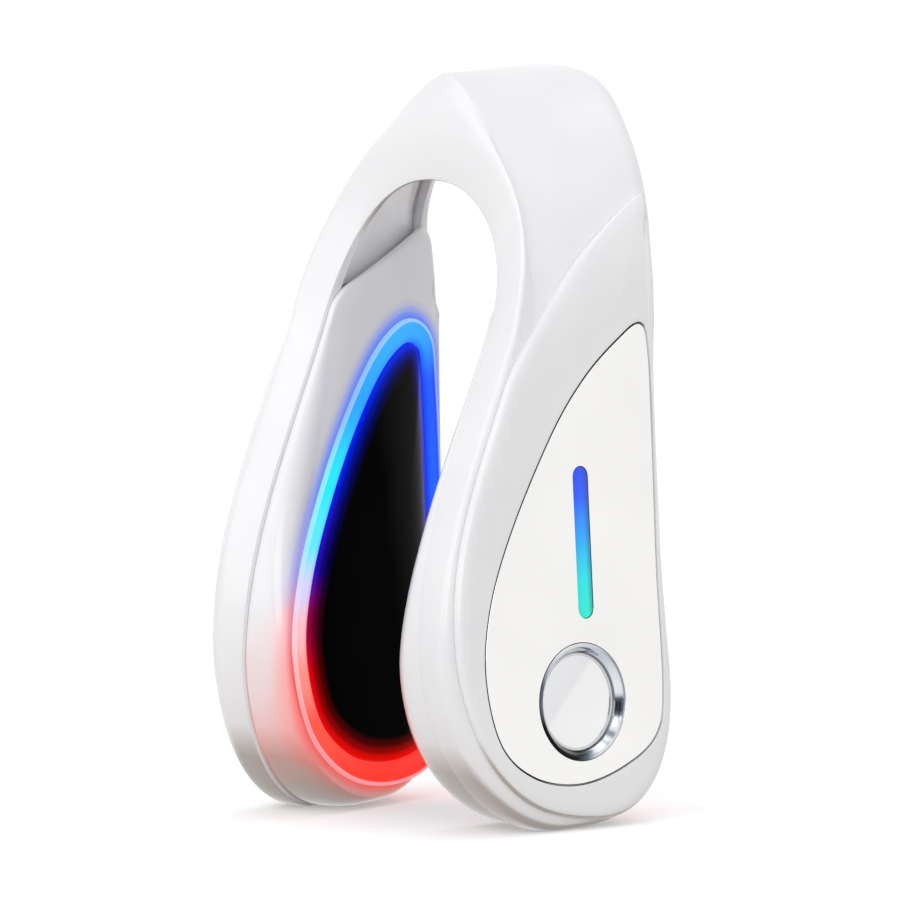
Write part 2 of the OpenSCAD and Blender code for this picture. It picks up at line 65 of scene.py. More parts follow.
# sizes in millimetres, as in the part's source
LOBE_W, LOBE_FRONT, LOBE_BACK, LOBE_U = 17.6, 15.1, 14.4, -2.6
TOE, SPLAY, HALF_GAP, FOOT_CUT = math.radians(7), math.radians(3.8), 14.14, 0.3
FRONT_DRAW, FRONT_RISE, BACK_LEAN = 14.9, 46, 0.035
ARCH_W, CREST_W, LEAF_TIP = 47, 74, 55.1
INNER_TOP = (51, 53.7)
ARCH_INNER, CLIP_H = 60.6, 70.9
FRAME_T, FLOOR_N, COVER_N, PLATE_N = 3.8, 2.1, 4.7, 4.62
FACE_0, FACE_SLOPE, FACE_MIN = -6.18, 0.11, 1.05
POCKET, WALL, RING_PROUD, PAD_PROUD = 0.45, 1.6, 0.35, 1.0
RIM_T, GLUE, REVEAL, GROOVE, COVER_WALL = 1.7, 0.05, 0.19, 0.4, 1.6
BUTTON_AT, BUTTON_D, DISH_D, BUTTON_TOP = (-1.0, 12.2), 9.0, 11.1, 3.85
BAR_AT, BAR_L, BAR_W = (0.0, 27.25), 14.3, 1.8
PORT_AT, PORT_N, PORT_SIZE = (11.6, 20.2), (-0.5, 2.05), (5.0, 7.7)
RING_W, PAD_CENTRE = 2.3, np.array([0.5, 19.0])
FLANGE_N, FLANGE_TOP, FLANGE_OUT = 1.5, 2.0, 0.6
# exponents of the lobe's two quarters, and the height at which the front stops drawing back
FRONT_E, BACK_E, DRAW_TOP = 1.9, 3, 62
# exponents of the arch's five guide curves, and the share of its depth at which its crest lies
IN_FRONT_E, OUT_FRONT_E, CREST_E, OUT_BACK_E, IN_BACK_E = 2.1, 2.15, 1.42, 2.6, 2.5
CREST_SHARE = 0.14
# how far below the clip's top the outer front, outer back and inner back curves peak
OUT_FRONT_DROP, OUT_BACK_DROP, IN_BACK_DROP = 4.5, 0.1, 4
# depth of the crest at the middle; how far the outer front curve lies behind the inner one there
CREST_Y, OUT_FRONT_SET = -0.5, 0.5
# how far the arch's back stands out behind at the middle, and its inner back curve to the side
BACK_BULGE, IN_BACK_SIDE = 4.8, 1.2
# radii of the frame's front and back edges, each at the foot and higher up
FRONT_R, BACK_R = (1.5, 0.6), (1.6, 3.1)
# the leaf's front edge curls back twice: start, amount and exponent of each
LEAF_BEND, LEAF_HOOK = (43.2, 0.094, 1.7), (49.5, 0.16, 2.2)
# path heights where the frame starts and stops bending, and where the liner ends
BEND_TOP, BEND_LOW, LINER_END = 65.5, 56.5, 50.6

U_DIR = np.array([math.sin(TOE), math.cos(TOE), 0])
N_DIR = np.array([math.cos(TOE) * math.cos(SPLAY), -math.sin(TOE) * math.cos(SPLAY), math.sin(SPLAY)])
W_DIR = np.array([-math.cos(TOE) * math.sin(SPLAY), math.sin(TOE) * math.sin(SPLAY), math.cos(SPLAY)])


def mix(a, b, t):
    return a + (b - a) * t


def rise(a, b, x):
    """0 up to a, 1 from b on, and a smooth step between them."""
    t = max(0.0, min(1.0, (x - a) / (b - a)))
    return t * t * (3 - 2 * t)


def front_u(w):
    if w >= LOBE_W:
        drawn = 1 - math.cos(math.pi * (min(w, DRAW_TOP) - LOBE_W) / FRONT_RISE)
        return LOBE_U - LOBE_FRONT + FRONT_DRAW * drawn / 2
    return LOBE_U - LOBE_FRONT * (1 - ((LOBE_W - w) / LOBE_W) ** FRONT_E) ** (1 / FRONT_E)


def back_u(w):
    return LOBE_U + LOBE_BACK + BACK_LEAN * (w - LOBE_W)


def curl(w, start, amount, e):
    return amount * max(w - start, 0) ** e


def leaf_u(w):
    return front_u(w) + curl(w, *LEAF_BEND) + curl(w, *LEAF_HOOK)


def front_r(w):
    return mix(*FRONT_R, rise(10, 30, w))


def back_r(w):
    return mix(*BACK_R, rise(10, 45, w)) - rise(50, 60, w)


def edge_r(p):
    return mix(front_r(p[1]), back_r(p[1]), rise(-6, 6, p[0]))


def cover_in(p):
    """How far inside the frame's edge the leaf starts."""
    f, b = (leaf_u(p[1]), back_u(p[1])) if p[1] > 40 else (-6, 6)
    wide = 0.3 + 1.9 * rise(6, 34, p[1]) - 0.5 * rise(48, 55, p[1])
    return mix(front_r(p[1]) + 0.1, wide, rise(f, b, p[0]))


def plain(u, w, n):
    """A point of the right arm in millimetres, with no flat foot."""
    return np.array([HALF_GAP, 0, 0]) + U_DIR * u + W_DIR * (w - FOOT_CUT) + N_DIR * n


def on_arm(u, w, n):
    p = plain(u, w, n)
    p[2] = max(0.0, p[2])
    return p


def sind(a):
    """Sine of degrees, never below 0."""
    return max(0.0, math.sin(math.radians(a)))


def cosd(a):
    """Cosine of degrees, never below 0."""
    return max(0.0, math.cos(math.radians(a)))


def arc(start, top, e, a, y):
    return np.array([start[0] * cosd(a) ** (2 / e), y, start[2] + (top - start[2]) * sind(a) ** (2 / e)])


def front_y(a):
    w = mix(ARCH_W, ARCH_INNER, sind(a) ** (2 / IN_FRONT_E))
    return on_arm(front_u(ARCH_W), ARCH_W, 0)[1] + front_u(w) - front_u(ARCH_W)


def back_y(a):
    return on_arm(back_u(ARCH_W), ARCH_W, FRAME_T)[1] + BACK_BULGE * sind(a) ** 7


def in_front(a):
    return arc(on_arm(front_u(ARCH_W), ARCH_W, 0), ARCH_INNER, IN_FRONT_E, a, front_y(a))


def out_front(a):
    p = on_arm(front_u(ARCH_W), ARCH_W, FRAME_T)
    y = front_y(a) + mix(p[1] - front_y(0), OUT_FRONT_SET, rise(0, 40, a))
    return arc(p, CLIP_H - OUT_FRONT_DROP, OUT_FRONT_E, a, y)


def crest(a):
    p = on_arm(mix(front_u(ARCH_W), back_u(ARCH_W), CREST_SHARE), ARCH_W, FRAME_T)
    return arc(p, CLIP_H, CREST_E, a, mix(p[1], CREST_Y, sind(a) ** 1.2))


def out_back(a):
    return arc(on_arm(back_u(ARCH_W), ARCH_W, FRAME_T), CLIP_H - OUT_BACK_DROP, OUT_BACK_E, a, back_y(a))


def in_back(a):
    p = arc(on_arm(back_u(ARCH_W), ARCH_W, 0), CLIP_H - IN_BACK_DROP, IN_BACK_E, a, back_y(a))
    return p + np.array([IN_BACK_SIDE * rise(0, 25, a) * (1 - rise(60, 90, a)), 0, 0])


def on_arch(f, a, v, x=0.0):
    """A point of the arch: share of its depth, turn in degrees, share of its thickness, and x beyond."""
    i = mix(in_front(a), in_back(a), f)
    if f < CREST_SHARE:
        o = mix(out_front(a), crest(a), f / CREST_SHARE)
    else:
        o = mix(crest(a), out_back(a), (f - CREST_SHARE) / (1 - CREST_SHARE))
    return mix(i, o, v) + x * (o - i) / np.linalg.norm(o - i)


def turn(w):
    """Turn round the arch, in degrees, at a path height."""
    return 90 * (w - ARCH_W) / (CREST_W - ARCH_W)


def on_clip(p, n):
    """A point of the right half of the clip: depth and path height, and level."""
    if p[1] <= ARCH_W:
        return on_arm(p[0], p[1], n)
    f = (p[0] - front_u(p[1])) / (back_u(p[1]) - front_u(p[1]))
    past = n if n < 0 else max(0.0, n - FRAME_T)
    return on_arch(f, turn(p[1]), max(0.0, min(1.0, n / FRAME_T)), past)


def face_n(w):
    return min(FACE_0 + FACE_SLOPE * w, -FACE_MIN)


def roof_n(w):
    return min(face_n(w) + WALL, -0.3)


def on_face(u, w, d):
    """A point of the leaning inner face of the right arm, d below it."""
    t = math.atan(FACE_SLOPE)
    return plain(u, w * math.cos(t) - d * math.sin(t), FACE_0 + w * math.sin(t) + d * math.cos(t))


def drop(r, q):
    """How far a rounding of radius r has dropped at q inside the edge."""
    x = max(0.0, r - q)
    return r - math.sqrt(max(0.0, r * r - x * x))


def frame_top(p, q, m):
    """Level of the frame's outer surface at m, which lies q inside the frame's edge at p."""
    if m[1] <= LOBE_W:
        return FRAME_T - drop(edge_r(p), q)
    return FRAME_T - drop(back_r(m[1]), back_u(m[1]) - m[0]) - drop(front_r(m[1]), m[0] - front_u(m[1]))


# curves in the plane of an arm
def smooth_curve(points, k):
    c = [np.array(p, float) for p in points]
    m, out = len(c), []
    for i in range(m):
        p0, p1, p2, p3 = c[i - 1], c[i], c[(i + 1) % m], c[(i + 2) % m]
        for j in range(k):
            t = j / k
            out.append(0.5 * (2 * p1 + (p2 - p0) * t + (2 * p0 - 5 * p1 + 4 * p2 - p3) * t * t
                              + (3 * p1 - p0 - 3 * p2 + p3) * t ** 3))
    return np.array(out)


def relaxed(loop, passes):
    for _ in range(passes):
        loop = (np.roll(loop, 1, 0) + 2 * loop + np.roll(loop, -1, 0)) / 4
    return loop


def shifted(loop, d):
    t = np.roll(loop, -1, 0) - np.roll(loop, 1, 0)
    n = np.stack([-t[:, 1], t[:, 0]], 1)
    return loop - n * d / np.linalg.norm(n, axis=1)[:, None]


def resampled(path, count):
    """count points evenly along an open path, both ends included."""
    path = np.array(path)
    s = np.r_[0, np.cumsum(np.linalg.norm(np.diff(path, axis=0), axis=1))]
    x = np.linspace(0, s[-1], count)
    return np.stack([np.interp(x, s, path[:, i]) for i in range(path.shape[1])], 1)


CURVE_STEPS = 24
RING = smooth_curve([(6.2, 47.1), (0.9, 44.9), (-4.7, 39.4), (-10.1, 31.9), (-14.2, 24), (-15.7, 16.5),
                     (-13.2, 8.6), (-6.5, 3.8), (2.2, 2.7), (8.6, 5.2), (10.6, 14), (10.8, 28), (10.7, 40),
                     (10, 45.2)], CURVE_STEPS)
PLATE = smooth_curve([(8.6, 47.4), (5.4, 45.9), (1, 42.6), (-3.4, 37.7), (-8.9, 29.3), (-12.2, 22.2),
                      (-13.25, 15.5), (-11.6, 8.9), (-7.4, 5.5), (-1.6, 4.5), (4.2, 5.8), (8.4, 8.4),
                      (9.5, 13), (9.35, 24), (9.5, 35), (9.5, 44.5)], CURVE_STEPS)
# bevel round the leaf's opening, and how far its upper edge stands off the plate's outline
HOLE_BEVEL = 0.09
HOLE = REVEAL + HOLE_BEVEL


def two_sides(loop, count):
    """A closed loop as 2 * count points: evenly down one side from its top, then evenly up the other."""
    top, low = int(np.argmax(loop[:, 1])), int(np.argmin(loop[:, 1]))
    loop = np.roll(loop, -top, 0)
    low = (low - top) % len(loop)
    down = resampled(loop[:low + 1], count + 1)
    up = resampled(np.vstack([loop[low:], loop[:1]]), count + 1)
    return np.vstack([down[:-1], up[:-1]])


def quarter(reach, e, count):
    """Turns, in degrees, that lie evenly along a quarter of the lobe."""
    a = np.linspace(0, 90, 721)
    c, s = np.cos(np.radians(a)).clip(0), np.sin(np.radians(a)).clip(0)
    x, y = reach * c ** (2 / e), LOBE_W * s ** (2 / e)
    length = np.r_[0, np.cumsum(np.hypot(np.diff(x), np.diff(y)))]
    return np.interp(np.linspace(0, length[-1], count + 1), length, a)


def lobe(a, reach, e, d):
    return np.array([reach * cosd(a) ** (2 / e) + LOBE_U, LOBE_W - (LOBE_W - d) * sind(a) ** (2 / e)])


SIDE, LOBE_N, TOP_N = 56, 34, 14
FRONT_TURNS, BACK_TURNS = quarter(LOBE_FRONT, FRONT_E, LOBE_N), quarter(LOBE_BACK, BACK_E, LOBE_N)


def outline(edge, d, w_f, w_b):
    """Closed outline of an arm drawn in by d: down the front, round the lobe, up the back, across the top."""
    def top(t):
        return np.array([mix(edge(w_f) + d, back_u(w_b) - d, t), mix(w_f, w_b, t)])

    def side(w_top, i):
        return mix(w_top, LOBE_W, (i / SIDE) ** 1.25)

    pts = [top(0.5 - 0.5 * i / TOP_N) for i in range(TOP_N)]
    pts += [np.array([edge(side(w_f, i)) + d, side(w_f, i)]) for i in range(SIDE)]
    pts += [lobe(a, d - LOBE_FRONT, FRONT_E, d) for a in FRONT_TURNS[:-1]]
    pts += [lobe(a, LOBE_BACK - d, BACK_E, d) for a in BACK_TURNS[::-1][:-1]]
    pts += [np.array([back_u(side(w_b, i)) - d, side(w_b, i)]) for i in range(SIDE, 0, -1)]
    pts += [top(1 - 0.5 * i / TOP_N) for i in range(TOP_N)]
    return np.array(pts)


def eased(a, b, corners, reach, passes):
    """Rounds two matching outlines near the given corners."""
    n = len(a)
    weight = np.zeros(n)
    for c in corners:
        weight = np.maximum(weight, np.clip(1 - np.linalg.norm(a - a[c % n], axis=1) / reach, 0, 1))
    weight = np.minimum(1, 2 * weight)[:, None]
    for _ in range(passes):
        a = a + weight * ((np.roll(a, 1, 0) + np.roll(a, -1, 0)) / 2 - a)
        b = b + weight * ((np.roll(b, 1, 0) + np.roll(b, -1, 0)) / 2 - b)
    return a, b


def laid(pair, d, n):
    """The outlines of pair laid on the clip, with inset and level given for each point by functions."""
    a, b = pair
    out = []
    for p, q in zip(a, b):
        inset = d(p)
        m = p + (q - p) * inset
        out.append(on_clip(m, n(p, inset, m)))
    return np.array(out)


# meshes

# edges that turn by more than this, in degrees, stay sharp
EDGE_ANGLE = 35


def placed(name, data):
    """A new object of the scene that carries the data."""
    obj = bpy.data.objects.new(name, data)
    bpy.context.scene.collection.objects.link(obj)
    return obj


def new_piece(name, verts, faces, left, material, smooth=EDGE_ANGLE):
    verts = np.array(verts, float) * MM
    if left:
        verts = verts * np.array([-1, 1, 1])
        faces = [tuple(reversed(f)) for f in faces]
    verts = np.clip(verts, *cad_box)
    mesh = bpy.data.meshes.new(name)
    mesh.from_pydata([tuple(v) for v in verts], [], faces)
    mesh.validate()
    obj = placed(name, mesh)
    mesh.materials.append(material)
    finish_mesh(obj, smooth)
    return obj


def finish_mesh(obj, smooth=EDGE_ANGLE, outward=True):
    bm = bmesh.new()
    bm.from_mesh(obj.data)
    bmesh.ops.remove_doubles(bm, verts=bm.verts, dist=1e-7)
    if outward:
        bmesh.ops.recalc_face_normals(bm, faces=bm.faces)
    bm.to_mesh(obj.data)
    bm.free()
    obj.data.shade_smooth()
    obj.data.set_sharp_from_angle(angle=math.radians(smooth))


def loft(rows, wrap=False):
    """Vertices and quads over closed rows of equal length; wrap joins the last row to the first."""
    rows = [np.array(r) for r in rows]
    n, m = len(rows[0]), len(rows)
    verts = np.vstack(rows)
    faces = []
    for i in range(m if wrap else m - 1):
        for j in range(n):
            a, b = i * n + j, i * n + (j + 1) % n
            c, d = ((i + 1) % m) * n + j, ((i + 1) % m) * n + (j + 1) % n
            faces.append((a, b, d, c))
    return verts, faces


def attribute(obj, name, values):
    layer = obj.data.attributes.new(name, "FLOAT", "POINT")
    layer.data.foreach_set("value", np.array(values, np.float32))


def local(obj, left):
    """Vertices of a piece as points of the leaning inner face: depth, height, and distance below it."""
    co = np.array([v.co for v in obj.data.vertices], float) / MM
    if left:
        co = co * np.array([-1, 1, 1])
    co = co - plain(0, 0, FACE_0)
    u, w, n = co @ U_DIR, co @ W_DIR, co @ N_DIR
    t = math.atan(FACE_SLOPE)
    return u, w * math.cos(t) + n * math.sin(t), -w * math.sin(t) + n * math.cos(t)


def distance(u, w, loop):
    """Distance of points from a closed loop, in millimetres."""
    a, b = loop, np.roll(loop, -1, 0)
    ab = b - a
    best = np.full(len(u), 1e9)
    p = np.stack([u, w], 1)
    for i in range(len(a)):
        t = np.clip(((p - a[i]) @ ab[i]) / max(ab[i] @ ab[i], 1e-12), 0, 1)
        best = np.minimum(best, np.linalg.norm(p - a[i] - t[:, None] * ab[i], axis=1))
    return best


# height at which the colours end; line between the ring's limbs, as heights and depths; its softness
GLOW_TOP, LIMB_LINE, LIMB_SOFT = 47.5, ((2, 20, 47), (0, 0, 7.2)), 1.1


def glow_attributes(obj, left, loop):
    """Where a point lies along the ring's colours, and how far it is from the loop."""
    u, w, _ = local(obj, left)
    attribute(obj, "height", np.clip(w / GLOW_TOP, 0, 1))
    middle = np.interp(w, *LIMB_LINE)
    attribute(obj, "back", 1 / (1 + np.exp(-(u - middle) / LIMB_SOFT)))
    attribute(obj, "reach", distance(u, w, loop))


# materials
def nodes_of(name):
    m = bpy.data.materials.new(name)
    m.use_nodes = True
    tree = m.node_tree
    return m, tree, tree.nodes["Principled BSDF"]


def link(tree, a, b):
    tree.links.new(a, b)


def ramp(tree, fac, stops, mode="LINEAR"):
    r = tree.nodes.new("ShaderNodeValToRGB")
    r.color_ramp.interpolation = mode
    while len(r.color_ramp.elements) > 1:
        r.color_ramp.elements.remove(r.color_ramp.elements[-1])
    r.color_ramp.elements[0].position = stops[0][0]
    r.color_ramp.elements[0].color = (*stops[0][1], 1)
    for pos, col in stops[1:]:
        e = r.color_ramp.elements.new(pos)
        e.color = (*col, 1)
    link(tree, fac, r.inputs["Fac"])
    return r.outputs["Color"]


def srgb(r, g, b):
    def one(c):
        c /= 255
        return c / 12.92 if c <= 0.04045 else ((c + 0.055) / 1.055) ** 2.4
    return (one(r), one(g), one(b))


def read(tree, name):
    """The values that a mesh carries under a name."""
    node = tree.nodes.new("ShaderNodeAttribute")
    node.attribute_name = name
    return node.outputs["Fac"]


def noise(tree, scale, detail=3.0):
    coord = tree.nodes.new("ShaderNodeTexCoord")
    n = tree.nodes.new("ShaderNodeTexNoise")
    n.inputs["Scale"].default_value = scale
    n.inputs["Detail"].default_value = detail
    n.inputs["Roughness"].default_value = 0.5
    link(tree, coord.outputs["Object"], n.inputs["Vector"])
    return n.outputs["Fac"]


def grain(tree, shader, scale, strength, height):
    b = tree.nodes.new("ShaderNodeBump")
    b.inputs["Strength"].default_value = strength
    b.inputs["Distance"].default_value = height
    link(tree, noise(tree, scale), b.inputs["Height"])
    link(tree, b.outputs["Normal"], shader.inputs["Normal"])


def roughness(tree, shader, low, high, scale):
    r = tree.nodes.new("ShaderNodeMapRange")
    r.inputs["To Min"].default_value = low
    r.inputs["To Max"].default_value = high
    link(tree, noise(tree, scale, 4.0), r.inputs["Value"])
    link(tree, r.outputs["Result"], shader.inputs["Roughness"])


def moulded(name, dark, pale, low=0.16, high=0.24, coat=0.35):
    """Glossy moulded plastic: a faint cloudiness in the colour, and a barely uneven surface."""
    m, tree, s = nodes_of(name)
    link(tree, ramp(tree, noise(tree, 90, 2.0), [(0.35, dark), (0.65, pale)]), s.inputs["Base Color"])
    roughness(tree, s, low, high, 260)
    s.inputs["Coat Weight"].default_value = coat
    s.inputs["Coat Roughness"].default_value = 0.06
    s.inputs["IOR"].default_value = 1.49
    grain(tree, s, 420, 0.05, 0.00004)
    return m, tree, s


def metal_like(name, dark, pale, low, high, scale=300):
    m, tree, s = nodes_of(name)
    link(tree, ramp(tree, noise(tree, scale), [(0.3, dark), (0.7, pale)]), s.inputs["Base Color"])
    s.inputs["Metallic"].default_value = 1.0
    roughness(tree, s, low, high, scale * 2)
    grain(tree, s, scale * 3, 0.06, 0.00002)
    return m


def painted_underside_shade(tree, s):
    """Painted shade: faces turned to the table are a warmer, darker white."""
    geometry = tree.nodes.new("ShaderNodeNewGeometry")
    split = tree.nodes.new("ShaderNodeSeparateXYZ")
    link(tree, geometry.outputs["Normal"], split.inputs[0])
    down = tree.nodes.new("ShaderNodeMapRange")
    down.inputs["From Min"].default_value = -0.45
    down.inputs["From Max"].default_value = -0.62
    link(tree, split.outputs["Z"], down.inputs["Value"])
    white = s.inputs["Base Color"].links[0].from_socket
    link(tree, mix_colour(tree, down.outputs["Result"], white, srgb(190, 182, 174)), s.inputs["Base Color"])


def mix_colour(tree, fac, a, b):
    m = tree.nodes.new("ShaderNodeMix")
    m.data_type = "RGBA"
    link(tree, fac, m.inputs["Factor"])
    for socket, value in (("A", a), ("B", b)):
        if isinstance(value, tuple):
            m.inputs[socket].default_value = (*value, 1)
        else:
            link(tree, value, m.inputs[socket])
    return m.outputs["Result"]


WHITE_TONES = (srgb(240, 240, 243), srgb(245, 245, 247))
WHITE, white_tree, white_shader = moulded("white_plastic", *WHITE_TONES)
# faces turned down get a painted shade
painted_underside_shade(white_tree, white_shader)
BLACK_CHIP = moulded("chip_black", (0.02, 0.02, 0.022), (0.035, 0.035, 0.038), 0.4, 0.6, 0.0)[0]
BOARD = moulded("solder_mask", (0.01, 0.09, 0.045), (0.015, 0.12, 0.06), 0.3, 0.45, 0.3)[0]
CHIP_LIGHT = moulded("light_chip", (0.75, 0.72, 0.5), (0.85, 0.83, 0.66), 0.2, 0.35, 0.3)[0]
LEAD = moulded("lead_red", (0.45, 0.02, 0.015), (0.55, 0.03, 0.02), 0.35, 0.5, 0.1)[0]
FILM = moulded("cable_film", (0.5, 0.2, 0.05), (0.62, 0.27, 0.07), 0.3, 0.42, 0.3)[0]
STEEL = metal_like("steel", (0.5, 0.51, 0.53), (0.62, 0.63, 0.65), 0.25, 0.38)
BRASS = metal_like("weight_metal", (0.42, 0.34, 0.2), (0.55, 0.45, 0.28), 0.3, 0.45)
FOIL = metal_like("battery_foil", (0.55, 0.57, 0.62), (0.72, 0.74, 0.8), 0.3, 0.5, 120)


def ring_colour(tree, front_stops, back_stops):
    """Colour of the light by height, one ramp for the front limb and one for the back."""
    height = read(tree, "height")
    front, back = (ramp(tree, height, stops, "EASE") for stops in (front_stops, back_stops))
    return mix_colour(tree, read(tree, "back"), front, back)


FADE_REACH, NEAR_FADE = 4.0, 1.6
BAND_FRONT = [(0.06, srgb(255, 40, 25)), (0.2, srgb(255, 80, 65)), (0.3, srgb(255, 140, 130)),
              (0.4, srgb(255, 190, 195)), (0.48, srgb(215, 210, 255)), (0.57, srgb(90, 235, 255)),
              (0.68, srgb(10, 235, 255)), (0.84, srgb(20, 165, 255)), (0.97, srgb(45, 175, 255))]
BAND_BACK = [(0.06, srgb(255, 40, 25)), (0.25, srgb(255, 110, 110)), (0.45, srgb(170, 140, 255)),
             (0.62, srgb(0, 90, 255)), (0.85, srgb(0, 80, 255)), (0.97, srgb(45, 165, 255))]
DEEP_FRONT = [(0.06, srgb(235, 10, 0)), (0.3, srgb(225, 0, 10)), (0.42, srgb(150, 0, 70)),
              (0.52, srgb(40, 10, 190)), (0.7, srgb(0, 30, 235)), (0.97, srgb(0, 40, 235))]
DEEP_BACK = [(0.06, srgb(235, 10, 0)), (0.3, srgb(215, 0, 20)), (0.45, srgb(90, 0, 130)),
             (0.62, srgb(0, 20, 225)), (0.97, srgb(0, 40, 235))]
# colours of the glow painted on the white cover beside the ring
HALO_FRONT = [(0.06, srgb(255, 75, 60)), (0.3, srgb(255, 105, 100)), (0.42, srgb(255, 150, 160)),
              (0.52, srgb(165, 165, 255)), (0.7, srgb(85, 125, 255)), (0.97, srgb(55, 115, 255))]
HALO_BACK = [(0.06, srgb(255, 75, 60)), (0.35, srgb(255, 130, 130)), (0.5, srgb(150, 140, 255)),
             (0.97, srgb(50, 105, 255))]


def grey_ramp(tree, fac, stops, mode="LINEAR"):
    return ramp(tree, fac, [(pos, (v, v, v)) for pos, v in stops], mode)


def falloff(tree, *stops):
    """Greys by distance from the ring's edge: each stop is a share of FADE_REACH and a value."""
    r = tree.nodes.new("ShaderNodeMapRange")
    r.inputs["From Max"].default_value = FADE_REACH
    link(tree, read(tree, "reach"), r.inputs["Value"])
    return grey_ramp(tree, r.outputs["Result"], stops, "EASE")


def halo_material():
    """The white cover with a painted glow from the ring beside it: a tint and a faint emission set by distance
    from the ring, not light the ring casts.
    """
    m, tree, s = moulded("white_plastic_painted_glow", *WHITE_TONES)
    painted_underside_shade(tree, s)
    white = s.inputs["Base Color"].links[0].from_socket
    tint = ring_colour(tree, HALO_FRONT, HALO_BACK)
    fade = falloff(tree, (0.0, 1.0), (0.1, 0.85), (0.22, 0.5), (0.36, 0.14), (0.5, 0.0))
    link(tree, mix_colour(tree, fade, white, tint), s.inputs["Base Color"])
    dim = mix_colour(tree, fade, (0.0, 0.0, 0.0), tint)
    link(tree, dim, s.inputs["Emission Color"])
    s.inputs["Emission Strength"].default_value = 0.3
    return m


def band_material():
    """Milky light guide: a pale rim, then the lit band, hottest in its middle."""
    m, tree, s = nodes_of("light_guide")
    colour = ring_colour(tree, BAND_FRONT, BAND_BACK)
    rim = falloff(tree, (0.0, 0.3), (0.06, 0.38), (0.11, 0.0))
    rim_colour = mix_colour(tree, rim, colour, srgb(236, 236, 250))
    deep = falloff(tree, (0.36, 0.0), (0.6, 0.45))
    lit = mix_colour(tree, deep, rim_colour, ring_colour(tree, DEEP_FRONT, DEEP_BACK))
    s.inputs["Base Color"].default_value = (0.02, 0.02, 0.02, 1)
    link(tree, lit, s.inputs["Emission Color"])
    s.inputs["Emission Strength"].default_value = 1.0
    roughness(tree, s, 0.16, 0.26, 300)
    s.inputs["Specular IOR Level"].default_value = 0.06
    return m


def pad_material():
    """Piano-black pad with a painted glow: emission set by distance from the ring stands in for the ring's
    light bleeding in over its edge.
    """
    m, tree, s = nodes_of("black_gloss")
    link(tree, ramp(tree, noise(tree, 120), [(0.3, (0.0015, 0.0015, 0.002)), (0.7, (0.003, 0.003, 0.0035))]),
         s.inputs["Base Color"])
    link(tree, read(tree, "sheen"), s.inputs["Specular IOR Level"])
    colour = ring_colour(tree, DEEP_FRONT, DEEP_BACK)
    fade = falloff(tree, (0.0, 1.0), (0.1, 0.8), (0.24, 0.32), (0.42, 0.07), (0.6, 0.0))
    link(tree, mix_colour(tree, fade, (0.0, 0.0, 0.0), colour), s.inputs["Emission Color"])
    s.inputs["Emission Strength"].default_value = 1.0
    roughness(tree, s, 0.08, 0.13, 200)
    return m


def bar_material():
    """Lit bar, blue at its top to green-cyan at its bottom, darker along its edge."""
    m, tree, s = nodes_of("light_bar")
    colour = ramp(tree, read(tree, "height"), [(0.0, srgb(0, 235, 205)), (0.25, srgb(0, 225, 225)),
                                               (0.55, srgb(0, 160, 250)), (0.8, srgb(0, 85, 250)),
                                               (1.0, srgb(0, 60, 235))])
    shade = grey_ramp(tree, read(tree, "across"), [(0.0, 0.1), (0.6, 0.0), (0.85, 0.45), (1.0, 0.8)])
    link(tree, mix_colour(tree, shade, colour, srgb(0, 40, 90)), s.inputs["Emission Color"])
    s.inputs["Emission Strength"].default_value = 1.0
    s.inputs["Base Color"].default_value = (0.01, 0.02, 0.03, 1)
    roughness(tree, s, 0.08, 0.14, 300)
    return m


def plate_material():
    """Mirror-white lacquered plate."""
    m, tree, s = moulded("mirror_white", srgb(245, 244, 242), srgb(249, 248, 246), 0.03, 0.06, 1.0)
    s.inputs["Metallic"].default_value = 0.8
    s.inputs["Coat Roughness"].default_value = 0.015
    return m


WHITE_PAINTED_GLOW, BAND, PAD = halo_material(), band_material(), pad_material()
BAR, PLATE_WHITE = bar_material(), plate_material()
# near-black material painted where there is only shade: the gaps round the plate and the cap
PAINTED_GAP_SHADE = moulded("painted_gap_shade", (0.03, 0.03, 0.035), (0.05, 0.05, 0.055), 0.5, 0.6, 0.0)[0]


def cap_material():
    """White cap with a painted grey reflection: a soft cloud over its upper left."""
    m, tree, s = moulded("cap_white", srgb(244, 244, 245), srgb(249, 249, 250), 0.08, 0.13, 0.8)
    shade = grey_ramp(tree, read(tree, "painted_light"), [(0.0, 0.0), (0.5, 0.0), (0.62, 0.55), (1.0, 0.35)], "EASE")
    white = s.inputs["Base Color"].links[0].from_socket
    link(tree, mix_colour(tree, shade, white, srgb(222, 224, 228)), s.inputs["Base Color"])
    s.inputs["Metallic"].default_value = 0.7
    return m


def chrome_material():
    """Chrome dish with painted dark bands round the cap, standing in for its reflections and for the shadow in
    the gap.
    """
    m, tree, s = nodes_of("chrome_dish")
    dark = ramp(tree, read(tree, "painted_light"), [(0.0, srgb(235, 236, 238)), (0.3, srgb(196, 203, 212)),
                                           (0.6, srgb(90, 98, 110)), (1.0, srgb(4, 4, 6))])
    link(tree, dark, s.inputs["Base Color"])
    s.inputs["Metallic"].default_value = 0.75
    roughness(tree, s, 0.04, 0.08, 300)
    grain(tree, s, 600, 0.04, 0.00002)
    return m


CAP, DISH = cap_material(), chrome_material()

# frame: two half shells that meet at the crest
SHARES = (0.03, 0.06, 0.09, 0.115, 0.14, 0.165, 0.2, 0.27, 0.36, 0.46, 0.56, 0.66, 0.76, 0.85)
# rounding from the rim's flat to the frame's edge: distance from the edge, level
LIP = ((0.5, 0.0), (0.28, 0.03), (0.1, 0.14), (0.0, 0.4))
ARCH_ROWS, ARM_ROWS, LINER_ROWS = 61, 45, 60


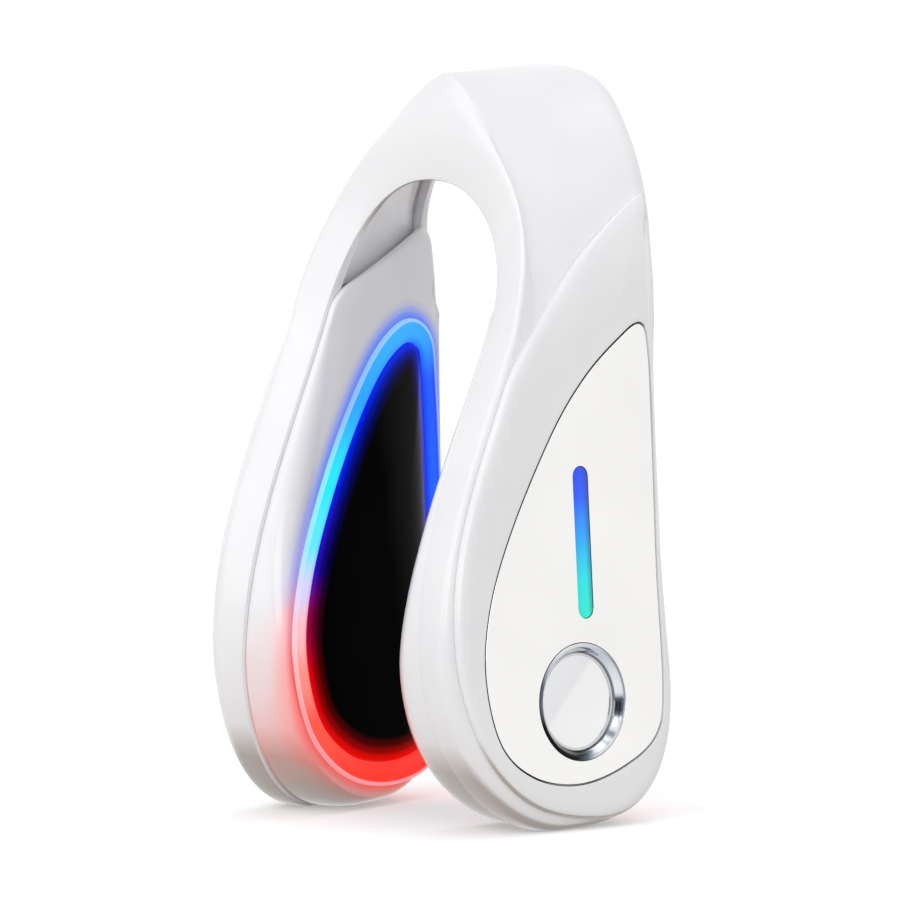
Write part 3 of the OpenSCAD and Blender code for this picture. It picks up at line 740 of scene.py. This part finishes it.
def stations():
    """Front and back outline points with their inset directions, from the crest down to the lobe's foot."""
    out = []
    heights = [*np.linspace(CREST_W, ARCH_W, ARCH_ROWS), *np.linspace(ARCH_W, LOBE_W, ARM_ROWS)[1:-1]]
    for w in (float(w) for w in heights):
        front, back = np.array([front_u(w), w]), np.array([back_u(w), w])
        out.append(((front, np.array([1.0, 0.0])), (back, np.array([-1.0, 0.0]))))
    for a, b in zip(FRONT_TURNS, BACK_TURNS):
        pair = []
        for t, reach, e, sign in ((a, -LOBE_FRONT, FRONT_E, 1), (b, LOBE_BACK, BACK_E, -1)):
            p = lobe(t, reach, e, 0)
            pair.append((p, np.array([sign * cosd(t) ** (2 / e), sind(t) ** (2 / e)])))
        out.append(tuple(pair))
    return out


def section(front, back):
    """One closed section of the frame across its depth: points (place, level)."""
    (pf, df), (pb, db) = front, back
    depth = np.linalg.norm(pb - pf)
    arch = rise(44, 58, pf[1])

    def edge(p, inward, share):
        rim, r = mix(RIM_T, share * depth, arch), edge_r(p)
        pts = [(rim, FLOOR_N), (rim, 0.05), (rim - 0.06, 0.0), *LIP]
        pts += [(r * (1 - cosd(t)), FRAME_T - r * (1 - sind(t))) for t in range(0, 91, 9)]
        return [(p + inward * q, n) for q, n in pts]

    half, mirror = edge(pf, df, 0.1), edge(pb, db, 0.08)
    a, b = half[-1][0], mirror[-1][0]
    across = []
    for s in SHARES:
        target = pf + (pb - pf) * s
        along = (target - a) @ (b - a) / max((b - a) @ (b - a), 1e-12)
        t = 0.0 if depth < 1e-9 else float(np.clip(along, 0, 1))
        across.append((a + (b - a) * t, FRAME_T))
    floor = [(mix(half[0][0], mirror[0][0], t), FLOOR_N) for t in (0.8, 0.6, 0.4, 0.2)]
    return half + across + mirror[::-1] + floor


def shell(side):
    rows = [np.array([on_clip(p, n) for p, n in section(f, b)]) for f, b in stations()]
    rows[0][:, 0] = 0.0
    verts, faces = loft(rows)
    faces.append(tuple(range(len(rows[0]))))
    return new_piece("shell_" + side, verts, faces, side == "left", WHITE)


def slot_cutter(name, at, n0, n1, size, r):
    """Rounded bar on the arm's normal, used only to cut and then removed."""
    pts = []
    half_u, half_w = size[0] / 2 - r, size[1] / 2 - r
    for cx, cy, start in ((1, 1, 0), (-1, 1, 90), (-1, -1, 180), (1, -1, 270)):
        for k in range(9):
            t = math.radians(start + 90 * k / 8)
            pts.append((at[0] + cx * half_u + r * math.cos(t), at[1] + cy * half_w + r * math.sin(t)))
    verts = [plain(u, w, n0) for u, w in pts] + [plain(u, w, n1) for u, w in pts]
    m = len(pts)
    faces = [tuple(range(m))[::-1], tuple(range(m, 2 * m))]
    faces += [(i, (i + 1) % m, m + (i + 1) % m, m + i) for i in range(m)]
    return new_piece(name, verts, faces, False, WHITE)


def cut(obj, cutter, smooth=EDGE_ANGLE):
    mod = obj.modifiers.new("cut", "BOOLEAN")
    mod.operation, mod.solver, mod.object = "DIFFERENCE", "EXACT", cutter
    mesh = bpy.data.meshes.new_from_object(obj.evaluated_get(bpy.context.evaluated_depsgraph_get()))
    obj.modifiers.clear()
    obj.data = mesh
    finish_mesh(obj, smooth, outward=False)


def open_crest(obj):
    """Removes the face that closed a half shell at the crest, where the other half goes on."""
    bm = bmesh.new()
    bm.from_mesh(obj.data)
    gone = [f for f in bm.faces if all(abs(v.co.x) < 1e-7 for v in f.verts)]
    bmesh.ops.delete(bm, geom=gone, context="FACES_ONLY")
    bm.to_mesh(obj.data)
    bm.free()
    finish_mesh(obj, outward=False)


def flex(obj, side):
    """Bakes the piece's placement into its mesh; the bending zone's ends on the arch are worked out but not
    used.
    """
    s = -1 if side == "left" else 1
    start, end = (on_arch(0.5, turn(w), 0.5) * MM * np.array([s, 1, 1]) for w in (BEND_TOP, BEND_LOW))
    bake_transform(obj)


def liner(side):
    """Liner strip with bevelled edges in the channel, from the crest down behind the inner cover."""
    v0, v1 = 0.22, 0.48
    vm = mix(v0, v1, 0.6)
    ring = [(0.905, vm), (0.9, vm - 0.03), (0.83, v0 + 0.015), (0.815, v0), (0.65, v0), (0.5, v0), (0.35, v0),
            (0.205, v0), (0.19, v0 + 0.015), (0.11, vm - 0.03), (0.105, vm), (0.105, v1 - 0.02), (0.2, v1),
            (0.5, v1), (0.82, v1), (0.905, v1 - 0.02)]
    heights = np.linspace(CREST_W, LINER_END, LINER_ROWS)
    rows = [np.array([on_arch(f, turn(w), v) for f, v in ring]) for w in heights]
    rows[0][:, 0] = 0.0
    verts, faces = loft(rows)
    faces.append(tuple(range(len(verts) - len(ring), len(verts))))
    return new_piece("liner_" + side, verts, faces, side == "left", WHITE, 25)


def inner_cover(side):
    left = side == "left"
    a = outline(front_u, 0, *INNER_TOP)
    b = outline(front_u, 1, INNER_TOP[0] - 1, INNER_TOP[1] - 1)
    pair = eased(a, b, [TOP_N, -TOP_N], 1.6, 12)

    def border(p):
        width = mix(mix(1.5, 3.4, rise(16, 34, p[1])), 0.8, rise(-8, 9, p[0]))
        return mix(width, 1.9, 1 - rise(2, 10, p[1]))

    rows = [laid(pair, lambda p: COVER_WALL, lambda p, q, m: roof_n(m[1])),
            laid(pair, lambda p: COVER_WALL, lambda p, q, m: -GLUE),
            laid(pair, lambda p: GROOVE + 0.1, lambda p, q, m: -GLUE),
            laid(pair, lambda p: GROOVE, lambda p, q, m: -0.25)]
    for t in (0, 12, 24, 36, 48, 60, 70, 80, 90):
        rows.append(laid(pair, lambda p, t=t: GROOVE + border(p) * (1 - cosd(t)),
                         lambda p, q, m, t=t: mix(-0.5, face_n(m[1]), sind(t))))
    rim = two_sides(shifted(RING, -0.25), len(a) // 2)
    flat = np.array([m + (n - m) * (GROOVE + border(m)) for m, n in zip(*pair)])
    t_face = math.atan(FACE_SLOPE)
    for s in (0.12, 0.25, 0.4, 0.55, 0.68, 0.79, 0.87, 0.93, 0.97, 1.0):
        row = []
        for m, r in zip(flat, rim):
            plan = np.array([r[0], r[1] * math.cos(t_face)])
            p = mix(m, plan, s)
            n = face_n(p[1])
            exact = FACE_0 + FACE_SLOPE * p[1]
            row.append(on_clip(p, mix(n, exact, rise(0.5, 1, s))))
        rows.append(np.array(row))
    rows.append(np.array([on_face(r[0], r[1], POCKET) for r in rim]))
    verts, faces = loft(rows, wrap=True)
    obj = new_piece("cover_inner_" + side, verts, faces, left, WHITE_PAINTED_GLOW, 40)
    if side == "right":
        cut(obj, CUTTER, 40)
    glow_attributes(obj, left, shifted(RING, -0.05))
    if not left:
        # the near arm's inner face turns away, so its painted glow is made narrower
        reach = obj.data.attributes["reach"].data
        reach.foreach_set("value", np.array([v.value for v in reach], np.float32) * NEAR_FADE)
    return obj


# rounding of the leaf's edge: height above the frame over distance from the edge
DEPTHS = (0, 0.02, 0.07, 0.16, 0.3, 0.5, 0.8, 1.2, 1.6, 2.0)
LIFTS = (0.3, 0.42, 0.53, 0.64, 0.73, 0.8, 0.85, 0.88, 0.895, 0.9)


def leaf(side):
    """Leaf-shaped outer cover, wrapped over the frame's soft back edge, open round the plate."""
    left = side == "left"
    wide, narrow = (outline(leaf_u, d, LEAF_TIP, LEAF_TIP) for d in (0, 1))
    inset = np.array([cover_in(p) for p in wide])[:, None]
    rim, _ = eased(wide + (narrow - wide) * inset, wide, [TOP_N, -TOP_N], 0.6, 5)
    inward = shifted(rim, -1) - rim
    near_tip = np.array([rise(48, 53, p[1]) for p in rim])[:, None]
    for _ in range(16):
        inward = mix(inward, (np.roll(inward, 1, 0) + np.roll(inward, -1, 0)) / 2, near_tip)
    room = distance(rim[:, 0], rim[:, 1], shifted(PLATE, HOLE))
    reach = np.array([mix(1, 0.12, rise(49, LEAF_TIP - 0.5, p[1])) for p in rim])
    reach = np.minimum(reach, np.clip((room - 0.12) / 2.0, 0.05, 1))
    for _ in range(20):
        reach = np.minimum(reach, (np.roll(reach, 1) + 2 * reach + np.roll(reach, -1)) / 4)
    bend = np.array([rise(43, 46, p[1]) * (1 - rise(50, 53, p[1])) for p in rim])[:, None]

    def calmed(row, passes=40):
        """Evens out a row where the straight arm passes into the arch."""
        for _ in range(passes):
            row = mix(row, (np.roll(row, 1, 0) + np.roll(row, -1, 0)) / 2, bend)
        return row

    def layer(d, lift):
        drawn = rim + inward * (reach * d)[:, None]
        levels = []
        for p, q, k, m in zip(wide, inset[:, 0], reach, drawn):
            above = lift or float(np.interp(d * k, DEPTHS, LIFTS))
            levels.append(min(COVER_N, frame_top(p, float(q + d * k), m) + above))
        return drawn, levels, calmed(np.array([on_clip(m, n) for m, n in zip(drawn, levels)]))

    rows = [layer(d, lift)[2] for d, lift in ((2.2, 0.03), (0.7, 0.03), (0, 0.03), (0, 0.3))]
    rows += [layer(d, 0)[2] for d in DEPTHS[1:-1]]
    flat, levels, row = layer(DEPTHS[-1], 0)
    rows.append(row)
    count = len(flat) // 2
    hole = two_sides(shifted(PLATE, HOLE), count)
    for s in (0.12, 0.25, 0.38, 0.5, 0.62, 0.74, 0.86, 0.94, 1.0):
        row = []
        for m, n, r in zip(flat, levels, hole):
            p, level = mix(m, r, s), mix(n, COVER_N, s)
            row.append(mix(on_clip(p, level), plain(p[0], p[1], level), rise(0.4, 1, s)))
        rows.append(calmed(np.array(row), int(40 * (1 - s))))
    for d, n in ((0.03, COVER_N - 0.025), (0, COVER_N - HOLE_BEVEL), (0, FRAME_T + GLUE)):
        rows.append(np.array([plain(u, w, n) for u, w in two_sides(shifted(PLATE, REVEAL + d), count)]))
    verts, faces = loft(rows, wrap=True)
    return new_piece("leaf_" + side, verts, faces, left, WHITE, 40)


def ring(side):
    left = side == "left"
    profile = [(0.05, 0.4), (0.05, -0.2), (0.09, -0.3), (0.2, -RING_PROUD), (0.36, -0.33), (0.46, -0.26),
               (0.52, -0.2), (0.62, -0.18), (0.9, -0.2), (1.3, -0.21), (1.7, -0.2), (2.1, -0.18),
               (2.25, -0.12), (RING_W, 0.0), (RING_W, 0.4)]
    loops = [(relaxed(shifted(RING, -s), int(2 + 6 * s)), d) for s, d in profile]
    rows = [np.array([on_face(u, w, d) for u, w in loop]) for loop, d in loops]
    verts, faces = loft(rows, wrap=True)
    obj = new_piece("ring_" + side, verts, faces, left, BAND, 50)
    glow_attributes(obj, left, shifted(RING, -0.05))
    return obj


def pad(side):
    left = side == "left"
    rim = relaxed(shifted(RING, -RING_W - GLUE), 16)
    rows = []
    for s, d in ((0, 0.4), (0, 0.0), (0.004, -0.12)):
        rows.append([on_face(*mix(p, PAD_CENTRE, s), d) for p in rim])
    for i in range(1, 23):
        s = (i / 22) ** 1.25
        d = -PAD_PROUD * (1 - (1 - min(1, s / 0.62)) ** 2.3)
        rows.append([on_face(*mix(p, PAD_CENTRE, min(s, 0.999)), min(-0.12, d)) for p in rim])
    verts, faces = loft(rows)
    n = len(rim)
    faces.append(tuple(range(len(verts) - n, len(verts))))
    faces.append(tuple(range(n)))
    obj = new_piece("pad_" + side, verts, faces, left, PAD, 50)
    glow_attributes(obj, left, rim)
    u, w, _ = local(obj, left)
    attribute(obj, "sheen", [0.003 + 0.03 * rise(-1, 6, a + 0.12 * (b - 30)) for a, b in zip(u, w)])
    return obj


# the plate's bevel, and the depth past which its sides keep the plate's white instead of the painted gap shade
PLATE_BEVEL, PLATE_BACK = 0.07, 9.1


def flat_plate(side):
    """Plate with bevelled edges, and on the right side its openings for the dish and the bar."""
    curve = bpy.data.curves.new("plate_curve", "CURVE")
    curve.dimensions, curve.fill_mode = "2D", "BOTH"
    curve.resolution_u = 1
    loops = [relaxed(PLATE, 1)]
    if side == "right":
        t = np.linspace(0, 2 * math.pi, 97)[:-1]
        hole = DISH_D / 2 + 0.06
        loops.append(np.stack([BUTTON_AT[0] + hole * np.cos(t), BUTTON_AT[1] + hole * np.sin(t)], 1))
        loops.append(capsule(BAR_AT, BAR_W + 0.16, BAR_L + 0.16, 16))
    for loop in loops:
        spline = curve.splines.new("POLY")
        spline.points.add(len(loop) - 1)
        for point, (u, w) in zip(spline.points, loop):
            point.co = (u, w, 0, 1)
        spline.use_cyclic_u = True
    low, high = FRAME_T + GLUE, PLATE_N
    curve.extrude = (high - low) / 2 - PLATE_BEVEL
    curve.bevel_depth = PLATE_BEVEL
    curve.bevel_resolution = 3
    curve.offset = -PLATE_BEVEL
    temp = placed("plate_curve", curve)
    mesh = bpy.data.meshes.new_from_object(temp.evaluated_get(bpy.context.evaluated_depsgraph_get()))
    bpy.data.objects.remove(temp)
    mesh.name = "plate_" + side
    sign = -1 if side == "left" else 1
    for v in mesh.vertices:
        p = plain(v.co.x, v.co.y, (low + high) / 2 + v.co.z) * MM
        v.co = (sign * p[0], p[1], p[2])
    mesh.materials.clear()
    mesh.materials.append(PLATE_WHITE)
    mesh.materials.append(PAINTED_GAP_SHADE)
    obj = placed("plate_" + side, mesh)
    finish_mesh(obj, 30)
    out = Vector((sign * N_DIR[0], N_DIR[1], N_DIR[2]))
    for face in mesh.polygons:
        # sides get the painted gap shade, but keep the plate's white along the arm's back edge
        at = (np.array(face.center) / MM * np.array([sign, 1, 1]) - plain(0, 0, 0)) @ U_DIR
        face.material_index = 0 if face.normal.dot(out) > 0.3 or at > PLATE_BACK else 1
    return obj


def capsule(at, width, length, k):
    """Closed outline of a bar with round ends, k steps an end."""
    r, pts = width / 2, []
    for sign, start in ((1, 0), (-1, math.pi)):
        for t in np.linspace(start, start + math.pi, k + 1):
            pts.append((at[0] + r * math.cos(t), at[1] + sign * (length / 2 - r) + r * math.sin(t)))
    return np.array(pts)


def lathe(name, profile, material, steps=128):
    """Body of revolution on the button's axis: profile of (radius, level)."""
    turns = np.linspace(0, 2 * math.pi, steps + 1)[:-1]
    rows = []
    for r, n in profile:
        r = max(r, 1e-4)
        rows.append([plain(BUTTON_AT[0] + r * math.cos(t), BUTTON_AT[1] + r * math.sin(t), n)
                     for t in turns])
    verts, faces = loft(rows, wrap=True)
    return new_piece(name, verts, faces, False, material, 30)


def bar_lens():
    rows = []
    top = PLATE_N + 0.03
    for d, n in ((0, 1.15), (0, PLATE_N - 0.1), (0.03, PLATE_N - 0.03), (0.1, PLATE_N + 0.01), (0.25, top),
                 (0.5, top), (0.8, top)):
        rows.append([plain(u, w, n) for u, w in capsule(BAR_AT, BAR_W - 2 * d, BAR_L - 2 * d, 24)])
    verts, faces = loft(rows)
    n = len(rows[0])
    faces += [tuple(range(n)), tuple(range(len(verts) - n, len(verts)))]
    obj = new_piece("bar_light", verts, faces, False, BAR, 40)
    co = np.array([v.co for v in obj.data.vertices], float) / MM - plain(0, 0, 0)
    attribute(obj, "height", np.clip((co @ W_DIR - BAR_AT[1]) / BAR_L + 0.5, 0, 1))
    attribute(obj, "across", np.clip((co @ U_DIR - BAR_AT[0]) / BAR_W + 0.5, 0, 1))
    return obj


CUTTER = slot_cutter("port_cutter", PORT_AT, PORT_N[0], PORT_N[1], PORT_SIZE, 0.4)
for side in ("right", "left"):
    arm = "arm_" + side
    body = shell(side)
    if side == "right":
        cut(body, CUTTER)
    open_crest(body)
    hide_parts("frame_bridge", "frame_arm_" + side)
    flex(body, side)
    strip = liner(side)
    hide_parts("bridge_liner", "neck_liner_" + side)
    flex(strip, side)
    for piece, node, slot in ((inner_cover(side), "inner_cover_" + side, "white_plastic"),
                              (leaf(side), "outer_cover_" + side, "white_plastic"),
                              (ring(side), "light_ring_" + side, "light_guide"),
                              (pad(side), "contact_pad_" + side, "black_gloss"),
                              (flat_plate(side), "face_plate_" + side, "mirror_white")):
        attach(piece, arm)
        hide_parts(node)
        # the light guide and the pad light nothing round them; the ring's glow on the cover and the pad is
        # painted in their materials
        if slot in ("light_guide", "black_gloss"):
            piece.visible_diffuse = False
        if slot == "light_guide":
            piece.visible_glossy = False
bpy.data.objects.remove(CUTTER)

# the dish's section from its outer edge: distance in from the edge, and depth below the cover's level
DISH_SECTION = ((0, 0.07), (0.04, 0.02), (0.12, 0), (0.24, 0), (0.32, 0.04), (0.45, 0.18), (0.62, 0.42),
                (0.75, 0.62), (0.83, 0.7))
# where the dish's foot starts and its rim ends, in from its edge, and over how much each fades
FOOT_IN, FOOT_FADE, RIM_IN, RIM_FADE = 0.78, 0.05, 0.34, 0.1
# painted darkness of the dish's three zones, for its reflections and the shadow in the gap round the cap: an
# even part, then patches as strength, turn and half width
DISH_INNER = (0.55, (0.45, 240, 80))
DISH_WALL = (0, (0.3, 75, 60), (0.95, 350, 16), (0.9, 250, 45), (0.5, 318, 6), (0.35, 306, 4))
DISH_OUTER = (0.1, (0.35, 20, 70), (0.5, 180, 60), (1, 238, 52))
# the painted grey reflection on the cap: how far it lies off the middle, and over how much it fades
CLOUD_OFF, CLOUD_FADE = 1.2, 9


def round_button(obj):
    """Distance from the button's axis, turn from the arm's back in degrees, and place across and up."""
    co = np.array([v.co for v in obj.data.vertices], float) / MM - plain(*BUTTON_AT, 0)
    u, w = co @ U_DIR, co @ W_DIR
    return np.hypot(u, w), np.degrees(np.arctan2(w, u)) % 360, u, w


def bump_at(a, centre, half):
    """1 near the turn centre, falling to 0 where the turn is half degrees away from it."""
    away = np.abs((a - centre + 180) % 360 - 180)
    return np.clip(1.5 * (1 - away / half), 0, 1)


def painted_darkness(angle, even, *patches):
    return even + sum(strength * bump_at(angle, centre, half) for strength, centre, half in patches)


def chrome_dish():
    """Dish round the cap, with painted reflections and a painted shadow in the gap, set by turn round the dish.
    """
    edge, bore = DISH_D / 2, BUTTON_D / 2
    obj = lathe("dish", [(edge, FRAME_T + GLUE), *((edge - q, COVER_N - d) for q, d in DISH_SECTION),
                         (bore + 0.14, FRAME_T + 0.12), (bore + 0.12, FRAME_T + GLUE)], DISH)
    radius, angle, _, _ = round_button(obj)
    inner = np.clip((edge - FOOT_IN - radius) / FOOT_FADE, 0, 1)
    outer = np.clip((radius - edge + RIM_IN) / RIM_FADE, 0, 1)
    wall = np.clip(1 - inner - outer, 0, 1)
    painted_light = (inner * painted_darkness(angle, *DISH_INNER) + wall * painted_darkness(angle, *DISH_WALL)
            + outer * painted_darkness(angle, *DISH_OUTER))
    attribute(obj, "painted_light", np.clip(painted_light, 0, 1))
    return obj


def round_cap():
    """Cap on a hidden flange, with its faint hollow, its painted grey reflection and its sides in painted gap
    shade.
    """
    r = BUTTON_D / 2
    # from the top's edge inwards: radius, and depth below the top
    top = ((r, 0.22), (r - 0.03, 0.12), (r - 0.1, 0.04), (r - 0.22, 0), (r - 0.6, 0.005), (r * 0.6, 0.03),
           (r * 0.3, 0.045), (0, 0.05))
    obj = lathe("button_disc", [(0, FLANGE_N), (r + FLANGE_OUT, FLANGE_N), (r + FLANGE_OUT, FLANGE_TOP),
                                (r, FLANGE_TOP), *((q, BUTTON_TOP - d) for q, d in top)], CAP)
    _, _, u, w = round_button(obj)
    attribute(obj, "painted_light", np.clip(0.5 + (w - u - CLOUD_OFF) / CLOUD_FADE, 0, 1))
    # the cap's sides get the painted gap shade
    obj.data.materials.append(PAINTED_GAP_SHADE)
    for face in obj.data.polygons:
        face.material_index = 0 if face.normal.dot(Vector(N_DIR)) > 0.8 else 1
    return obj


dish = chrome_dish()
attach(dish, "arm_right")
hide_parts("button_dish")
cap = round_cap()
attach(cap, "button")
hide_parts("button_cap")
lens = bar_lens()
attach(lens, "arm_right")
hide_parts("bar_lens")
lens.visible_diffuse = False

# materials of the CAD nodes that stay
KEPT = {"led_board": BOARD, "leds": CHIP_LIGHT, "cover_screws": STEEL, "motor_base": STEEL,
        "motor_weight": BRASS, "motor_can": STEEL, "main_board": BOARD, "board_chips": BLACK_CHIP,
        "tact_switch": STEEL, "charging_port": STEEL, "bar_leds": CHIP_LIGHT, "switch_plunger": BLACK_CHIP,
        "battery": FOIL, "battery_tape": BLACK_CHIP, "battery_leads": LEAD, "bridge_cable": FILM}
for name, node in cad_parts.items():
    stem = name.rsplit("_", 1)[0] if name.endswith(("_right", "_left")) else name
    node.data.materials.clear()
    node.data.materials.append(KEPT.get(stem, WHITE))

# floor, light and camera
floor_mesh = bpy.data.meshes.new("floor")
floor_mesh.from_pydata([(-6, -6, 0), (6, -6, 0), (6, 6, 0), (-6, 6, 0)], [], [(0, 1, 2, 3)])
floor = placed("floor", floor_mesh)
floor.location.z = -0.00002


def seen(tree):
    """1 for rays from the camera, mirrors and glass."""
    path = tree.nodes.new("ShaderNodeLightPath")
    rays = path.outputs["Is Camera Ray"]
    for kind in ("Is Glossy Ray", "Is Transmission Ray"):
        either = tree.nodes.new("ShaderNodeMath")
        either.operation = "MAXIMUM"
        link(tree, rays, either.inputs[0])
        link(tree, path.outputs[kind], either.inputs[1])
        rays = either.outputs[0]
    return rays


floor_mat, tree, s = nodes_of("floor")
s.inputs["Roughness"].default_value = 0.9
s.inputs["Specular IOR Level"].default_value = 0.0
path = tree.nodes.new("ShaderNodeLightPath")
bounced = mix_colour(tree, path.outputs["Is Glossy Ray"], srgb(204, 199, 193), (0.0, 0.0, 0.0))
link(tree, mix_colour(tree, path.outputs["Is Camera Ray"], bounced, (0.9, 0.9, 0.9)), s.inputs["Base Color"])
mirrored = mix_colour(tree, path.outputs["Is Glossy Ray"], (0.0, 0.0, 0.0), (1.0, 1.0, 1.0))
glow = mix_colour(tree, path.outputs["Is Camera Ray"], mirrored, (0.3, 0.3, 0.3))
link(tree, glow, s.inputs["Emission Color"])
s.inputs["Emission Strength"].default_value = 1.0
floor_mesh.materials.append(floor_mat)

world = bpy.data.worlds.new("studio")
bpy.context.scene.world = world
world.use_nodes = True
tree = world.node_tree
back = tree.nodes["Background"]
link(tree, mix_colour(tree, seen(tree), (0.78, 0.785, 0.8), (1.0, 1.0, 1.0)), back.inputs["Color"])
back.inputs["Strength"].default_value = 1.0


LAMP_AIM = Vector((0, 0, 0.035))


def lamp(name, at, size, power):
    data = bpy.data.lights.new(name, "AREA")
    data.shape, data.size, data.energy = "SQUARE", size, power
    obj = placed(name, data)
    obj.location = at
    obj.rotation_mode = "QUATERNION"
    obj.rotation_quaternion = (LAMP_AIM - Vector(at)).to_track_quat("-Z", "Y")


lamp("key", (-0.12, -1.25, 0.7), 1.3, 4.6)
lamp("fill", (0.95, -1.1, 0.45), 0.7, 3.2)
lamp("top", (0.1, 0.2, 1.4), 0.9, 1)

camera = bpy.data.cameras.new("camera")
camera.sensor_width, camera.lens = 36, 630
camera.clip_start, camera.clip_end = 0.05, 30
eye = placed("camera", camera)
VIEW_FOCUS, VIEW_DISTANCE = Vector((0.00011, 0.00009, 0.03484)), 1.5
az, el = math.radians(40), math.radians(5.8)
away = Vector((math.sin(az) * math.cos(el), -math.cos(az) * math.cos(el), math.sin(el)))
eye.location = VIEW_FOCUS + away * VIEW_DISTANCE
eye.rotation_mode = "QUATERNION"
eye.rotation_quaternion = (-away).to_track_quat("-Z", "Y")
bpy.context.scene.camera = eye
bpy.context.scene.view_settings.view_transform = "Standard"
